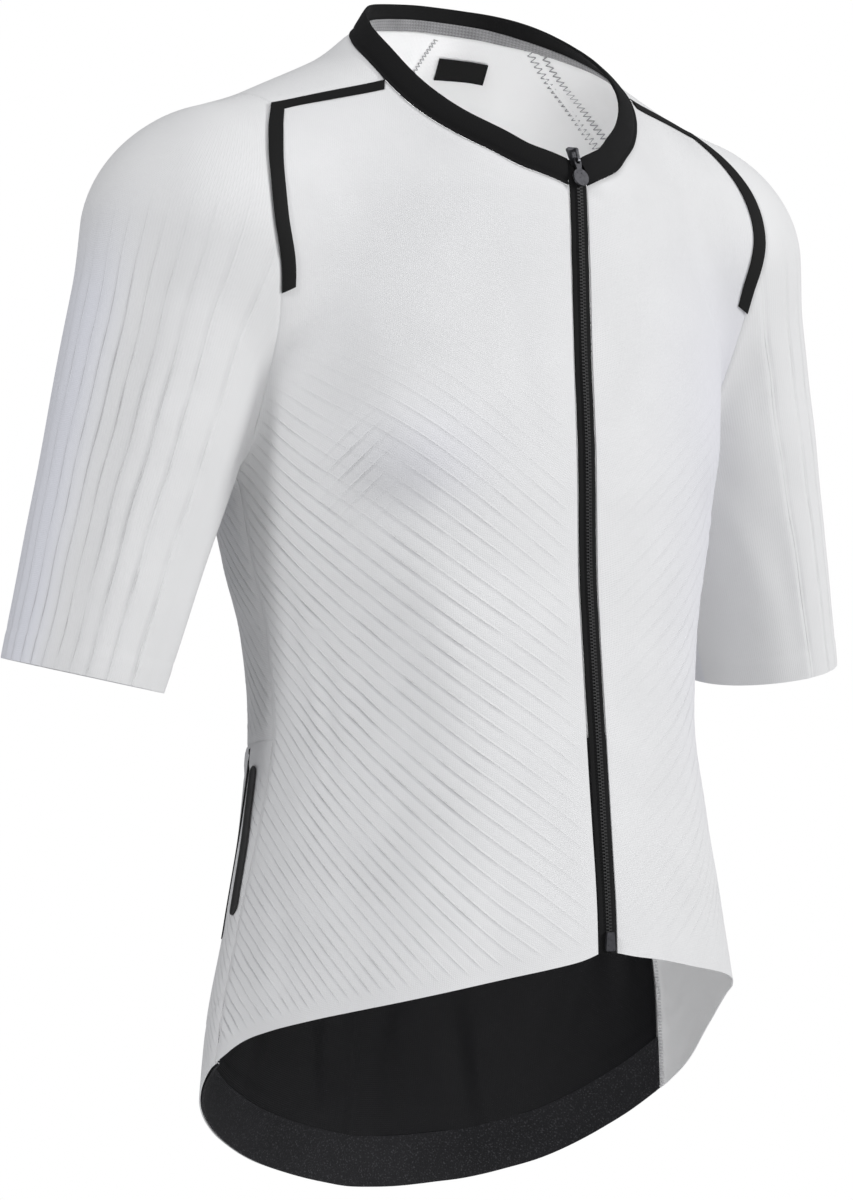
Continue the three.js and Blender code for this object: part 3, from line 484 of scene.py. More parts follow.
def math_node(nt, op, a, b=None, clamp=False):
    x = node(nt, "ShaderNodeMath", operation=op, use_clamp=clamp)
    for i, v in enumerate([a, b]):
        if v is None:
            continue
        if isinstance(v, (int, float)):
            x.inputs[i].default_value = v
        else:
            nt.links.new(v, x.inputs[i])
    return x.outputs[0]


def mix_colour(nt, fac, a, b):
    x = node(nt, "ShaderNodeMix", data_type="RGBA")
    if isinstance(fac, (int, float)):
        x.inputs[0].default_value = fac
    else:
        nt.links.new(fac, x.inputs[0])
    for i, v in ((6, a), (7, b)):
        if isinstance(v, tuple):
            x.inputs[i].default_value = (*v, 1)
        else:
            nt.links.new(v, x.inputs[i])
    return x.outputs[2]


def smooth_drop(nt, value, far):
    """1 at nothing, falling smoothly to 0 at far"""
    r = node(nt, "ShaderNodeMapRange", interpolation_type="SMOOTHSTEP")
    r.inputs["From Min"].default_value = 0.0
    r.inputs["From Max"].default_value = far
    r.inputs["To Min"].default_value = 1.0
    r.inputs["To Max"].default_value = 0.0
    nt.links.new(value, r.inputs["Value"])
    return r.outputs[0]


def rib_height(nt, phase_name, strength_name, wide, ramp, wear):
    """fine ribs where the phase field passes whole numbers: a narrow cord and a slow ramp up to it, with masks for a
    painted shadow just before each cord and a painted highlight just past it
    """
    ph = node(nt, "ShaderNodeAttribute", attribute_name=phase_name).outputs["Fac"]
    st = node(nt, "ShaderNodeAttribute", attribute_name=strength_name).outputs["Fac"]
    f = math_node(nt, "FRACT", ph)
    near = math_node(nt, "MINIMUM", f, math_node(nt, "SUBTRACT", 1.0, f))
    cord = smooth_drop(nt, near, wide)
    back = math_node(nt, "SUBTRACT", 1.0, f)
    h = math_node(nt, "ADD", cord, math_node(nt, "MULTIPLY", back, ramp))
    st = math_node(nt, "MULTIPLY", st, wear)
    # masks for a painted shadow just before each cord and a painted highlight just past it
    rib_painted_shadow = smooth_drop(nt, math_node(nt, "ABSOLUTE", math_node(nt, "SUBTRACT", back, wide + 0.04)), 0.15)
    top = smooth_drop(nt, f, wide * 1.1)
    return math_node(nt, "MULTIPLY", h, st), math_node(nt, "MULTIPLY", rib_painted_shadow, st), math_node(nt, "MULTIPLY", top, st)


def knit(name, low, high, pitch=1.1, rough=0.82, bump_mm=0.12, sheen=0.25, fleck=None, patch_mm=60.0, tint=None,
         tint_field=None, strong=0.6, ribs=(), spec=None, painted_shade_field=None):
    """knitted cloth: rows of small loops at a pitch in mm, with slow colour drift and a soft sheen"""
    m, nt, bsdf = new_material(name)
    uv = node(nt, "ShaderNodeUVMap", uv_map="UVMap").outputs[0]
    sep = node(nt, "ShaderNodeSeparateXYZ")
    nt.links.new(uv, sep.inputs[0])
    k = 2 * math.pi / (pitch / 1000)
    # loops: two crossed waves, the second shifted along every row
    x = math_node(nt, "MULTIPLY", sep.outputs[0], k)
    y = math_node(nt, "MULTIPLY", sep.outputs[1], k * 1.25)
    bend = math_node(nt, "MULTIPLY", math_node(nt, "SINE", y), 0.9)
    wave_a = math_node(nt, "SINE", math_node(nt, "ADD", x, bend))
    wave_b = math_node(nt, "SINE", math_node(nt, "ADD", y, math_node(nt, "MULTIPLY", math_node(nt, "COSINE", x), 0.5)))
    loops = math_node(nt, "MULTIPLY", math_node(nt, "ADD", wave_a, wave_b), 0.5)
    obj = node(nt, "ShaderNodeTexCoord").outputs["Object"]
    slow = node(nt, "ShaderNodeTexNoise")
    slow.inputs["Scale"].default_value = 1000.0 / patch_mm
    slow.inputs["Detail"].default_value = 3
    nt.links.new(obj, slow.inputs["Vector"])
    fuzz = node(nt, "ShaderNodeTexNoise")
    fuzz.inputs["Scale"].default_value = 1400
    fuzz.inputs["Detail"].default_value = 2
    nt.links.new(obj, fuzz.inputs["Vector"])
    lift = math_node(nt, "ADD", math_node(nt, "MULTIPLY", loops, 0.28),
                     math_node(nt, "ADD", math_node(nt, "MULTIPLY", slow.outputs[0], 0.9), 0.05), clamp=True)
    colour = mix_colour(nt, lift, low, high)
    if fleck:
        f = node(nt, "ShaderNodeTexNoise")
        f.inputs["Scale"].default_value = 900
        f.inputs["Detail"].default_value = 1
        nt.links.new(obj, f.inputs["Vector"])
        spots = math_node(nt, "MULTIPLY", math_node(nt, "SUBTRACT", f.outputs[0], 0.56), 9.0, clamp=True)
        diag = math_node(nt, "SINE", math_node(nt, "MULTIPLY", math_node(nt, "ADD", sep.outputs[0], sep.outputs[1]), 2 * math.pi / 0.0022))
        spots = math_node(nt, "MULTIPLY", spots, math_node(nt, "ADD", math_node(nt, "MULTIPLY", diag, 0.35), 0.65), clamp=True)
        colour = mix_colour(nt, spots, colour, fleck)
    if tint:
        field = node(nt, "ShaderNodeAttribute", attribute_name=tint_field)
        colour = mix_colour(nt, math_node(nt, "MULTIPLY", field.outputs["Fac"], 1.0, clamp=True), colour, tint)
    # painted shade: the colour is darkened toward grey by this field
    if painted_shade_field:
        field = node(nt, "ShaderNodeAttribute", attribute_name=painted_shade_field)
        colour = mix_colour(nt, math_node(nt, "MULTIPLY", field.outputs["Fac"], 1.0, clamp=True), colour, (0.40, 0.40, 0.405))
    if spec is not None:
        bsdf.inputs["Specular IOR Level"].default_value = spec
    last = None
    if ribs:
        uneven = node(nt, "ShaderNodeTexNoise")
        uneven.inputs["Scale"].default_value = 42
        uneven.inputs["Detail"].default_value = 3
        nt.links.new(obj, uneven.inputs["Vector"])
        wear = math_node(nt, "MULTIPLY", math_node(nt, "SUBTRACT", uneven.outputs[0], 0.22), 1.9, clamp=True)
        total = None
        for phase_name, strength_name, wide, ramp, tall, painted_shadow_amount in ribs:
            h, rib_painted_shadow, top = rib_height(nt, phase_name, strength_name, wide, ramp, wear)
            h = math_node(nt, "MULTIPLY", h, tall)
            total = h if total is None else math_node(nt, "ADD", total, h)
            # painted shadow, then painted highlight, mixed into the colour at each cord
            colour = mix_colour(nt, math_node(nt, "MULTIPLY", rib_painted_shadow, painted_shadow_amount, clamp=True), colour, (0.36, 0.36, 0.375))
            colour = mix_colour(nt, math_node(nt, "MULTIPLY", top, 0.75, clamp=True), colour, (0.90, 0.90, 0.90))
        rb = node(nt, "ShaderNodeBump")
        rb.inputs["Strength"].default_value = 1.0
        rb.inputs["Distance"].default_value = 0.001
        nt.links.new(total, rb.inputs["Height"])
        last = rb.outputs[0]
    nt.links.new(colour, bsdf.inputs["Base Color"])
    nt.links.new(math_node(nt, "ADD", math_node(nt, "MULTIPLY", loops, 0.05), rough), bsdf.inputs["Roughness"])
    b = node(nt, "ShaderNodeBump")
    b.inputs["Strength"].default_value = strong
    b.inputs["Distance"].default_value = bump_mm / 1000
    height = math_node(nt, "ADD", loops, math_node(nt, "MULTIPLY", fuzz.outputs[0], 0.8))
    nt.links.new(height, b.inputs["Height"])
    if last is not None:
        nt.links.new(last, b.inputs["Normal"])
    nt.links.new(b.outputs[0], bsdf.inputs["Normal"])
    bsdf.inputs["Sheen Weight"].default_value = sheen
    bsdf.inputs["Sheen Roughness"].default_value = 0.5
    bsdf.inputs["Specular IOR Level"].default_value = 0.25
    return m


def plain(name, colour, rough, metallic=0.0, scale_mm=3.0, bump_mm=0.05, spread=0.15, specular=0.5):
    m, nt, bsdf = new_material(name)
    obj = node(nt, "ShaderNodeTexCoord").outputs["Object"]
    n = node(nt, "ShaderNodeTexNoise")
    n.inputs["Scale"].default_value = 1000 / scale_mm
    n.inputs["Detail"].default_value = 4
    nt.links.new(obj, n.inputs["Vector"])
    low = tuple(c * (1 - spread) for c in colour)
    high = tuple(min(1, c * (1 + spread)) for c in colour)
    nt.links.new(mix_colour(nt, n.outputs[0], low, high), bsdf.inputs["Base Color"])
    nt.links.new(math_node(nt, "ADD", math_node(nt, "MULTIPLY", n.outputs[0], 0.18), rough - 0.09), bsdf.inputs["Roughness"])
    b = node(nt, "ShaderNodeBump")
    b.inputs["Strength"].default_value = 0.4
    b.inputs["Distance"].default_value = bump_mm / 1000
    nt.links.new(n.outputs[0], b.inputs["Height"])
    nt.links.new(b.outputs[0], bsdf.inputs["Normal"])
    bsdf.inputs["Metallic"].default_value = metallic
    bsdf.inputs["Specular IOR Level"].default_value = specular
    return m


# ribs: phase, strength, cord width, ramp, height, painted shadow amount; the cords also get a painted highlight
WHITE = knit("white_knit", (0.715, 0.715, 0.718), (0.80, 0.80, 0.802), pitch=1.3, bump_mm=0.10, patch_mm=45.0,
             tint=(0.72, 0.72, 0.80), tint_field="tint",
             ribs=(("phase", "strength", 0.11, 0.9, 0.80, 0.50), ("phase_b", "strength_b", 0.13, 0.8, 0.55, 0.40)),
             painted_shade_field="painted_shade")
PLEATED = knit("white_pleated", (0.735, 0.735, 0.735), (0.80, 0.80, 0.80), pitch=1.3, bump_mm=0.08,
               tint=(0.74, 0.75, 0.82), tint_field="tint", ribs=(("phase", "strength", 0.07, 1.3, 0.8, 0.26),))
# the inside face is a lighter copy of the white cloth: painted light where the inside shows at the neck and hem
WHITE_BACK = knit("white_inside", (0.80, 0.80, 0.805), (0.88, 0.88, 0.88), pitch=1.0, bump_mm=0.12)
BLACK = knit("black_knit", (0.0012, 0.0012, 0.0014), (0.003, 0.003, 0.0034), pitch=1.0, bump_mm=0.12, sheen=0.0, rough=0.85, spec=0.045)
GROUND = knit("black_mesh", (0.0015, 0.0015, 0.002), (0.004, 0.004, 0.0055), pitch=1.6, bump_mm=0.15, sheen=0.0, rough=0.50, spec=0.16)
GRIPPER = knit("gripper_knit", (0.008, 0.008, 0.009), (0.024, 0.024, 0.027), pitch=1.2, bump_mm=0.25, sheen=0.01,
               rough=0.8, fleck=(0.055, 0.055, 0.06), spec=0.15)
ZIPCLOTH = knit("zip_tape_weave", (0.0015, 0.0015, 0.0016), (0.004, 0.004, 0.0045), pitch=0.8, bump_mm=0.10, sheen=0.0, rough=0.8, spec=0.05)
TAPE = knit("bonded_tape", (0.0015, 0.0015, 0.0015), (0.004, 0.004, 0.004), pitch=0.6, bump_mm=0.05, sheen=0.0, rough=0.76, spec=0.05)
GREYTAPE = knit("grey_tape_weave", (0.13, 0.13, 0.135), (0.34, 0.34, 0.345), pitch=2.2, bump_mm=0.25, rough=0.85, patch_mm=12.0)
THREAD_WHITE = plain("thread_white", (0.66, 0.66, 0.67), 0.75, scale_mm=1.0)
THREAD_GREY = plain("thread_grey", (0.30, 0.30, 0.31), 0.75, scale_mm=1.0)
THREAD_BLACK = plain("thread_black", (0.02, 0.02, 0.021), 0.7, scale_mm=1.0)
COIL = plain("coil_nylon", (0.004, 0.004, 0.0045), 0.62, scale_mm=2.0)
RUBBER = plain("tab_rubber", (0.004, 0.004, 0.004), 0.6, scale_mm=4.0, bump_mm=0.08)
METAL = plain("gunmetal", (0.10, 0.10, 0.108), 0.30, metallic=0.9, scale_mm=1.6, bump_mm=0.02, spread=0.3)

# ------------------------------------------------------------------ front panels
FU, FV = C_NECK_F + C_SAD_F, C_SIDE + C_ARM
PER = 8
fronts, fine_fronts = {}, {}
for side in (-1, 1):
    a = SIDE_SEAM * np.arange(FU + 1) / FU
    bottom = round_cast(side * a, hem_z(side * a) if side > 0 else HEM_RIGHT(a))
    bottom[0] = face_at(side * ZIP_HALF, -513)[0]
    top = for_side(side, np.concatenate([neck_front, saddle_front[1:]]))
    right = np.concatenate([side_point(side, np.arange(C_SIDE + 1) / C_SIDE), for_side(side, arm_front[:-1][::-1])])
    zz = bottom[0, 2] + (top[0, 2] - bottom[0, 2]) * np.arange(FV + 1) / FV
    left = face_at(side * ZIP_HALF, zz)
    left[0], left[-1] = bottom[0], top[0]
    g = even(between(bottom, top, left, right), 4)
    fronts[side] = g
    fine_fronts[side] = fine(g, 11, 11, (C_NECK_F,), (C_SIDE,))


def edge_distance(g):
    """distance to each of the four edges along the grid lines, mm: left (u=0), right, bottom, top"""
    s, t = travel_uv(g)
    s, t = s * 1000, t * 1000
    return s - s[:, :1], s[:, -1:] - s, t - t[:1], t[-1:] - t


def rib_phase(s, Z):
    """rises by one from rib to rib; s is the way round the body from the zip, mm"""
    wander = 0.8 * np.sin(Z / 47.0 + s / 61.0) + 0.45 * np.sin(Z / 23.0 - s / 19.0 + 1.3)
    every = 11.6 - 2.5 * step(s, 60, 220)
    return (Z + 330 + wander) / every - (0.62 * s + 0.0012 * np.maximum(np.minimum(s, 262) - 60, 0) ** 2
                                         + 0.48 * np.maximum(s - 262, 0)) / 10.4


reach = {}
for side in (-1, 1):
    g = fine_fronts[side]
    toZip, toSide, toHem, toTop = edge_distance(g)
    X, Y, Z = g[..., 0], g[..., 1], g[..., 2]
    s = toZip                                           # round the body from the zip
    # ribs run down towards the zip and crowd together at the side; they fade out over the chest
    phase = rib_phase(s, Z)
    reach[side] = (Z[:, -1].copy(), s[:, -1].copy())     # height and way round at the side seam
    strength = step(-Z, 140, 270) * (0.30 + 0.70 * step(s, 15, 105))
    strength *= 0.80 + 0.20 * np.sin(Z / 58.0 + 2.0 * np.sin(s / 66.0))
    strength *= (0.40 if side > 0 else 1.0)
    strength *= step(toSide, 1, 6) * step(toHem, 5, 14) * step(toZip, 4, 16)
    strength = np.clip(strength, 0, 1)
    f = np.mod(phase, 1.0)
    H = 0.42 * strength * np.minimum(f / 0.22, (1 - f) / 0.78)
    # where they turn under the chest, a short second set leans the other way
    phase_b = (0.94 * s + Z) / 10.8
    turned = bump(s, 139, 17) * bump(Z, -233, 27)
    strength_b = turned * (0.4 if side > 0 else 0.9)
    strength *= 1 - 0.85 * turned
    # hollow under the chest, with its dark side up, and soft drags that run from it to the side
    deep = 0.55 if side > 0 else 1.0
    H -= deep * 4.2 * bump(s, 123, 25) * bump(Z, -251 + 0.35 * np.abs(s - 123) * 0.6, 17)
    H -= deep * 1.6 * bump(s, 120, 48) * bump(Z, -262, 34)
    H += deep * 1.3 * bump(s, 120, 44) * bump(Z + 0.5 * np.abs(s - 122), -206, 16)
    # fine crinkles beside and below it, short and uneven
    crinkle = np.sin((Z + 0.35 * s) / 2.7 + 2.2 * np.sin(s / 13.0) + 1.3 * np.sin(Z / 21.0)) * np.sin(s / 9.0 + Z / 33.0)
    H += 0.30 * crinkle * np.clip(bump(s, 150, 26) * bump(Z, -258, 24) + 0.8 * bump(s, 118, 30) * bump(Z, -312, 26)
                                  + 0.5 * bump(s, 190, 24) * bump(Z, -400, 40), 0, 1)
    for cs, cz, wide, lng, dip, lean in ((138, -352, 7, 58, 0.9, 0.10), (163, -378, 6, 46, 0.8, -0.05),
                                         (116, -395, 9, 66, 0.7, 0.16), (186, -340, 8, 52, 0.7, -0.12),
                                         (60, -470, 11, 60, 0.6, 0.22), (150, -500, 10, 48, 0.8, 0.1),
                                         (200, -512, 9, 36, 0.9, 0.0), (34, -180, 10, 52, 0.5, -0.2)):
        H -= dip * bump(s + lean * (Z - cz), cs, wide) * bump(Z, cz, lng)
        H += dip * 0.7 * bump(s + lean * (Z - cz), cs + wide * 1.7, wide) * bump(Z, cz, lng * 0.8)
    # small puckers beside the zip, uneven in length and depth
    puck = np.sin(Z / 5.2 + 1.7 * np.sin(Z / 17.0)) * (0.5 + 0.5 * np.sin(Z / 41.0 + side))
    H += 0.22 * puck * np.exp(-toZip / 9.0) * step(toZip, 0.3, 3)
    H += 0.5 * noise(g, 120, 11 + side)
    # the hem edge waves a little and its fold stands proud
    H += 0.8 * np.exp(-toHem / 22.0) * np.sin(s / 19.0 + 1.2 * np.sin(s / 43.0))
    # seams: the cloth dips into them
    for dist, deep, wide in ((toSide, 0.9, 2.6), (toTop, 0.7, 2.2), (toZip, 0.35, 1.6)):
        H -= deep * np.exp(-(dist / wide) ** 2)
    tint = np.clip(0.55 * step(s, 20, 160) * step(-Z, 60, 200) * (1 - step(-Z, 330, 480)) if side > 0
                   else 0.30 * bump(s, 100, 36) * bump(Z, -226, 26), 0, 1) * np.ones_like(Z)
    # painted shade: darker towards the side seam under the sleeve, and a painted shadow in the hollow under the chest
    painted_shade = 0.30 * step(s, 165, 262) * step(-Z, 190, 300) * (1 - step(-Z, 420, 560))
    painted_shade = painted_shade + 0.16 * bump(s, 122, 26) * bump(Z, -247, 17) * (1.0 if side < 0 else 0.5)
    # crinkles inside the hem corner, beside the side seam
    H += 0.45 * np.sin((toHem * 0.8 + toSide * 0.55) / 2.6 + 2.0 * np.sin(toSide / 9.0)) * bump(toSide, 14, 22) * bump(toHem, 30, 42)
    name = "front_right_cloth" if side < 0 else "front_left_cloth"
    ob = shell(name, g, H - 0.15, material=WHITE, back_material=WHITE_BACK, fields={"tint": tint, "phase": phase, "strength": strength, "phase_b": phase_b, "strength_b": strength_b,
                       "painted_shade": painted_shade})
    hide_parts("front_right" if side < 0 else "front_left")

# ------------------------------------------------------------------ back
back_top = np.concatenate([(saddle_back * FLIP)[::-1], (neck_back * FLIP)[1:], neck_back[:-1][::-1], saddle_back[1:]])
BU = len(back_top) - 1
round_at = SIDE_SEAM + (360 - 2 * SIDE_SEAM) * (1 - np.arange(BU + 1) / BU)
signed = np.where(round_at > 180, round_at - 360, round_at)
hem_line = hem_z(signed)
mid = np.sin(math.pi * np.arange(BU + 1) / BU)
cuts = [hem_line, hem_line + BAND_HIGH, POCKET_TOP_SIDE + (POCKET_TOP_CENTRE - POCKET_TOP_SIDE) * mid]


def side_turn(side, z):
    z0 = float(hem_z(side * SIDE_SEAM))
    return side_point(side, (np.atleast_1d(z) - z0) / (underarm[2] - z0))


def cut_row(z):
    r = round_cast(signed, z)
    r[0], r[-1] = side_turn(-1, z[0])[0], side_turn(1, z[-1])[0]
    return r


rows = [cut_row(z) for z in cuts]


def side_edge(side, z0, z1, count):
    return side_turn(side, z0 + (z1 - z0) * np.arange(count + 1) / count)


end = lambda k, side: cuts[k][0 if side < 0 else -1]
band_grid = between(rows[0], rows[1], side_edge(-1, end(0, -1), end(1, -1), C_BAND), side_edge(1, end(0, 1), end(1, 1), C_BAND))
ground_grid = between(rows[1], rows[2], side_edge(-1, end(1, -1), end(2, -1), C_GROUND), side_edge(1, end(1, 1), end(2, 1), C_GROUND))


def upper_side(side):
    return np.concatenate([side_edge(side, end(2, side), underarm[2], C_WAIST)[:-1],
                           for_side(side, underarm[None]), for_side(side, arm_back[:-1][::-1])])


upper_grid = even(between(rows[2], back_top, upper_side(-1), upper_side(1)), 8)

band = fine(band_grid, PER, 12)
_, _, bHem, bTop = edge_distance(band)
H = 0.5 * noise(band, 90, 21)
H += 0.55 * np.sin(np.arange(band.shape[1])[None] / 5.3 + 1.1 * np.sin(np.arange(band.shape[1])[None] / 11.0)) * np.exp(-bHem / 16)
H -= 0.5 * np.exp(-(bTop / 1.8) ** 2)
ob = shell("hem_band_cloth", band, H + LINING + 0.3, thick=1.4, material=GRIPPER)
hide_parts("hem_band")

ground = fine(ground_grid, PER, PER)
gL, gR, gHem, gTop = edge_distance(ground)
GS = gL - (gL + gR) / 2
GX, GZ = ground[..., 0], ground[..., 2]


def drags(S, Z, rowsOf):
    out = np.zeros_like(S)
    for cs, cz, wide, lng, dip, lean in rowsOf:
        out -= dip * bump(S + lean * (Z - cz), cs, wide) * bump(Z, cz, lng)
        out += dip * 0.75 * bump(S + lean * (Z - cz), cs + wide * 1.8, wide) * bump(Z, cz, lng * 0.85)
    return out


GROUND_DRAGS = ((-150, -520, 9, 44, 0.8, 0.3), (-96, -560, 11, 62, 0.9, -0.22), (-40, -588, 8, 50, 0.7, 0.14),
                (12, -560, 12, 70, 0.8, -0.1), (74, -600, 9, 44, 0.9, 0.25), (128, -570, 10, 60, 0.8, -0.3),
                (172, -520, 8, 38, 0.7, 0.2), (-180, -470, 7, 36, 0.6, -0.1))
H = 2.2 * drags(GS, GZ, GROUND_DRAGS) + 0.5 * noise(ground, 100, 33)
H -= 0.7 * bump(gHem, 7.0, 0.9) * step(np.minimum(gL, gR), 2, 8)   # second stitched line over the band
H -= 0.8 * bump(GS, -4, 1.7) - 0.5 * bump(GS, -7, 2.4)          # upright seam between the pockets
for dist in (gL, gR, gHem, gTop):
    H -= 0.5 * np.exp(-(dist / 2.2) ** 2)
ob = shell("back_lower_cloth", ground, H + LINING, thick=0.8, material=GROUND)
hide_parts("back_lower")

# pocket panel: the outer face from the hem to the waist
pocket_grid = np.concatenate([band_grid, ground_grid[1:]])
pocket = fine(pocket_grid, PER, PER)
pL, pR, pB, pT = edge_distance(pocket)
PS = pL - (pL + pR) / 2
PZ = pocket[..., 2]
H = drags(PS, PZ, GROUND_DRAGS) * 0.8 + 0.4 * noise(pocket, 110, 35)
for at in (-62, 62):                                            # stitched lines between the three pockets
    H -= 0.8 * bump(PS, at, 1.7) * step(pB, 34, 42)
H -= 0.7 * bump(pB, 40, 1.5)                                    # seam over the gripper band
H += 0.5 * step(14 - pT, 0, 2.5) - 0.35 * bump(pT, 15.5, 1.4)   # turned edge of the pocket mouths
H += 1.1 * bump(PS, 0, 40) * bump(pT, 30, 40) + 0.9 * bump(np.abs(PS), 110, 32) * bump(pT, 36, 40)
H += 0.8 * np.exp(-pB / 22.0) * np.sin(PS / 19.0 + 1.2 * np.sin(PS / 43.0))
for dist in (pL, pR, pT):
    H -= 0.8 * np.exp(-(dist / 2.4) ** 2)


def seam_way(Z):
    z, w = reach[-1]
    order = np.argsort(z)
    return np.interp(Z, z[order], w[order])


zero = np.zeros_like(PS)
near = np.minimum(pL, pR)
# the shade entry is painted shade: full above the waist, fading towards the hem and partly towards the centre back
POCKET_FIELDS = {"tint": zero, "phase": rib_phase(seam_way(PZ) + near, PZ),
           "strength": 0.8 * step(near, 1, 6) * (1 - step(near, 14, 60)) * step(pT, 16, 24) * step(pB, 6, 16),
           "phase_b": zero, "strength_b": zero,
           "painted_shade": 0.30 * (1 - step(-PZ, 420, 560)) * (1 - 0.6 * step(near, 20, 90))}
ob = shell("back_pocket_cloth", pocket, H, material=WHITE, back_material=WHITE_BACK, fields=POCKET_FIELDS)
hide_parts("back_pocket")

UPER = 8
upper = fine(upper_grid, UPER, UPER, (C_SAD_B, C_SAD_B + 2 * C_NECK_B), (C_WAIST,))
uL, uR, uB, uT = edge_distance(upper)
US = uL - (uL + uR) / 2
UZ = upper[..., 2]
aS = np.abs(US)
phase = rib_phase(seam_way(UZ) + np.minimum(uL, uR), UZ)
strength = np.clip(step(-UZ, 150, 270) * step(aS, 30, 110) * step(uB, 3, 12) * step(np.minimum(uL, uR), 1, 6), 0, 1)
H = 0.25 * strength * np.power(np.abs(np.mod(phase, 1.0) - 0.5) * 2, 3.0)
H += 0.5 * noise(upper, 130, 41)
H -= 3.4 * bump(US, 0, 13) * step(-UZ, 60, 150) * (1 - step(-UZ, 330, 405))       # hollow of the spine
for cs, cz, wide, lng, dip, lean in ((-70, -330, 9, 60, 1.0, 0.3), (-118, -300, 8, 50, 0.9, 0.42), (64, -340, 9, 56, 1.0, -0.28),
                                     (112, -296, 8, 48, 0.9, -0.44), (-34, -372, 7, 34, 0.7, 0.1), (30, -366, 8, 36, 0.7, -0.16),
                                     (-128, -130, 7, 30, 0.8, -0.5), (124, -136, 8, 34, 0.8, 0.5)):
    H -= dip * bump(US + lean * (UZ - cz), cs, wide) * bump(UZ, cz, lng)
    H += dip * 0.7 * bump(US + lean * (UZ - cz), cs + wide * 1.7, wide) * bump(UZ, cz, lng * 0.8)
for dist, deep in ((uL, 0.9), (uR, 0.9), (uB, 0.5), (uT, 0.7)):
    H -= deep * np.exp(-(dist / 2.4) ** 2)
zero = np.zeros_like(US)
# painted shade towards both sides of the back, from below the shoulders down
ob = shell("back_upper_cloth", upper, H - 0.2, material=WHITE, back_material=WHITE_BACK,
           fields={"tint": zero, "phase": phase, "strength": strength, "phase_b": zero, "strength_b": zero,
                   "painted_shade": 0.30 * step(np.abs(US), 90, 170) * step(-UZ, 190, 300)})
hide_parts("back_upper")

# ------------------------------------------------------------------ sleeves
arm_a, arm_b = np.array(ARM["a"], float), np.array(ARM["b"], float)
arm_way = unit(arm_b - arm_a)
cuff_point = arm_b + unit(CUFF_NORMAL) * CUFF_BACK
spine = [np.array(SHOULDER["a"], float), arm_a, arm_b]
spine_len = [np.linalg.norm(spine[1] - spine[0]), np.linalg.norm(spine[2] - spine[1])]


def spine_at(s):
    if s <= spine_len[0]:
        return spine[0] + (spine[1] - spine[0]) * (s / spine_len[0])
    return spine[1] + (spine[2] - spine[1]) * ((s - spine_len[0]) / spine_len[1])


SPINE_POINTS = np.array([spine_at(sum(spine_len) * i / 400) for i in range(401)])


def nearest_on_spine(p):
    return sum(spine_len) * int(np.argmin(np.linalg.norm(SPINE_POINTS - p, axis=1))) / 400


shoulder_arc = settle(straight(arm_front[0], arm_back[0], C_NECK_S))
tongue = between(shoulder_arc, neck_sleeve, saddle_front[::-1], saddle_back[::-1])
loop = np.concatenate([arm_front[::-1], shoulder_arc[1:], arm_back[1:-1]])
LU = len(loop)
side_way = unit(np.cross(arm_way, [0, 1, 0]))
out_way = side_way if side_way[0] > 0 else -side_way


def cuff_ring():
    gaps = [max(np.linalg.norm(loop[(i + 1) % LU] - loop[i]), 1) for i in range(LU)]
    travel = np.concatenate([[0], np.cumsum(gaps)])
    ring = []
    for i in range(LU):
        a = 2 * math.pi * travel[i] / travel[-1]
        way = unit(out_way * -math.cos(a) + np.array([0, -math.sin(a), 0]))
        p = arm_a + arm_way * (np.linalg.norm(arm_b - arm_a) - 12)
        for _ in range(12):
            hit = cast(p, way)[0]
            off = (hit - cuff_point) @ unit(CUFF_NORMAL)
            p = p - arm_way * (off / (arm_way @ unit(CUFF_NORMAL)))
        ring.append(cast(p, way)[0])
    return np.array(ring)


cuff = cuff_ring()
sleeve_grid = np.zeros((C_SLEEVE + 1, LU, 3))
sleeve_grid[0], sleeve_grid[-1] = loop, cuff
for i in range(LU):
    s0, s1 = nearest_on_spine(loop[i]), nearest_on_spine(cuff[i])
    m0, m1 = unit(loop[i] - spine_at(s0)), unit(cuff[i] - spine_at(s1))
    t = np.arange(1, C_SLEEVE) / C_SLEEVE
    starts = np.array([spine_at(s0 + (s1 - s0) * k) for k in t])
    ways = unit(m0 * (1 - t)[:, None] + m1 * t[:, None])
    sleeve_grid[1:-1, i] = cast(starts, ways)
for _ in range(6):
    for j in range(1, C_SLEEVE):
        row = sleeve_grid[j]
        mean = (np.roll(row, 1, 0) + np.roll(row, -1, 0) + sleeve_grid[j - 1] + sleeve_grid[j + 1]) * 0.25
        sleeve_grid[j] = settle(row * 0.5 + mean * 0.5, 6)

SPER = 9
FIRST, LAST = C_ARM, C_ARM + C_NECK_S
sleeve_fine = fine(sleeve_grid, SPER, 10, (0, FIRST, LAST), (), ring=True)
tongue_fine = fine(tongue, SPER, 10)


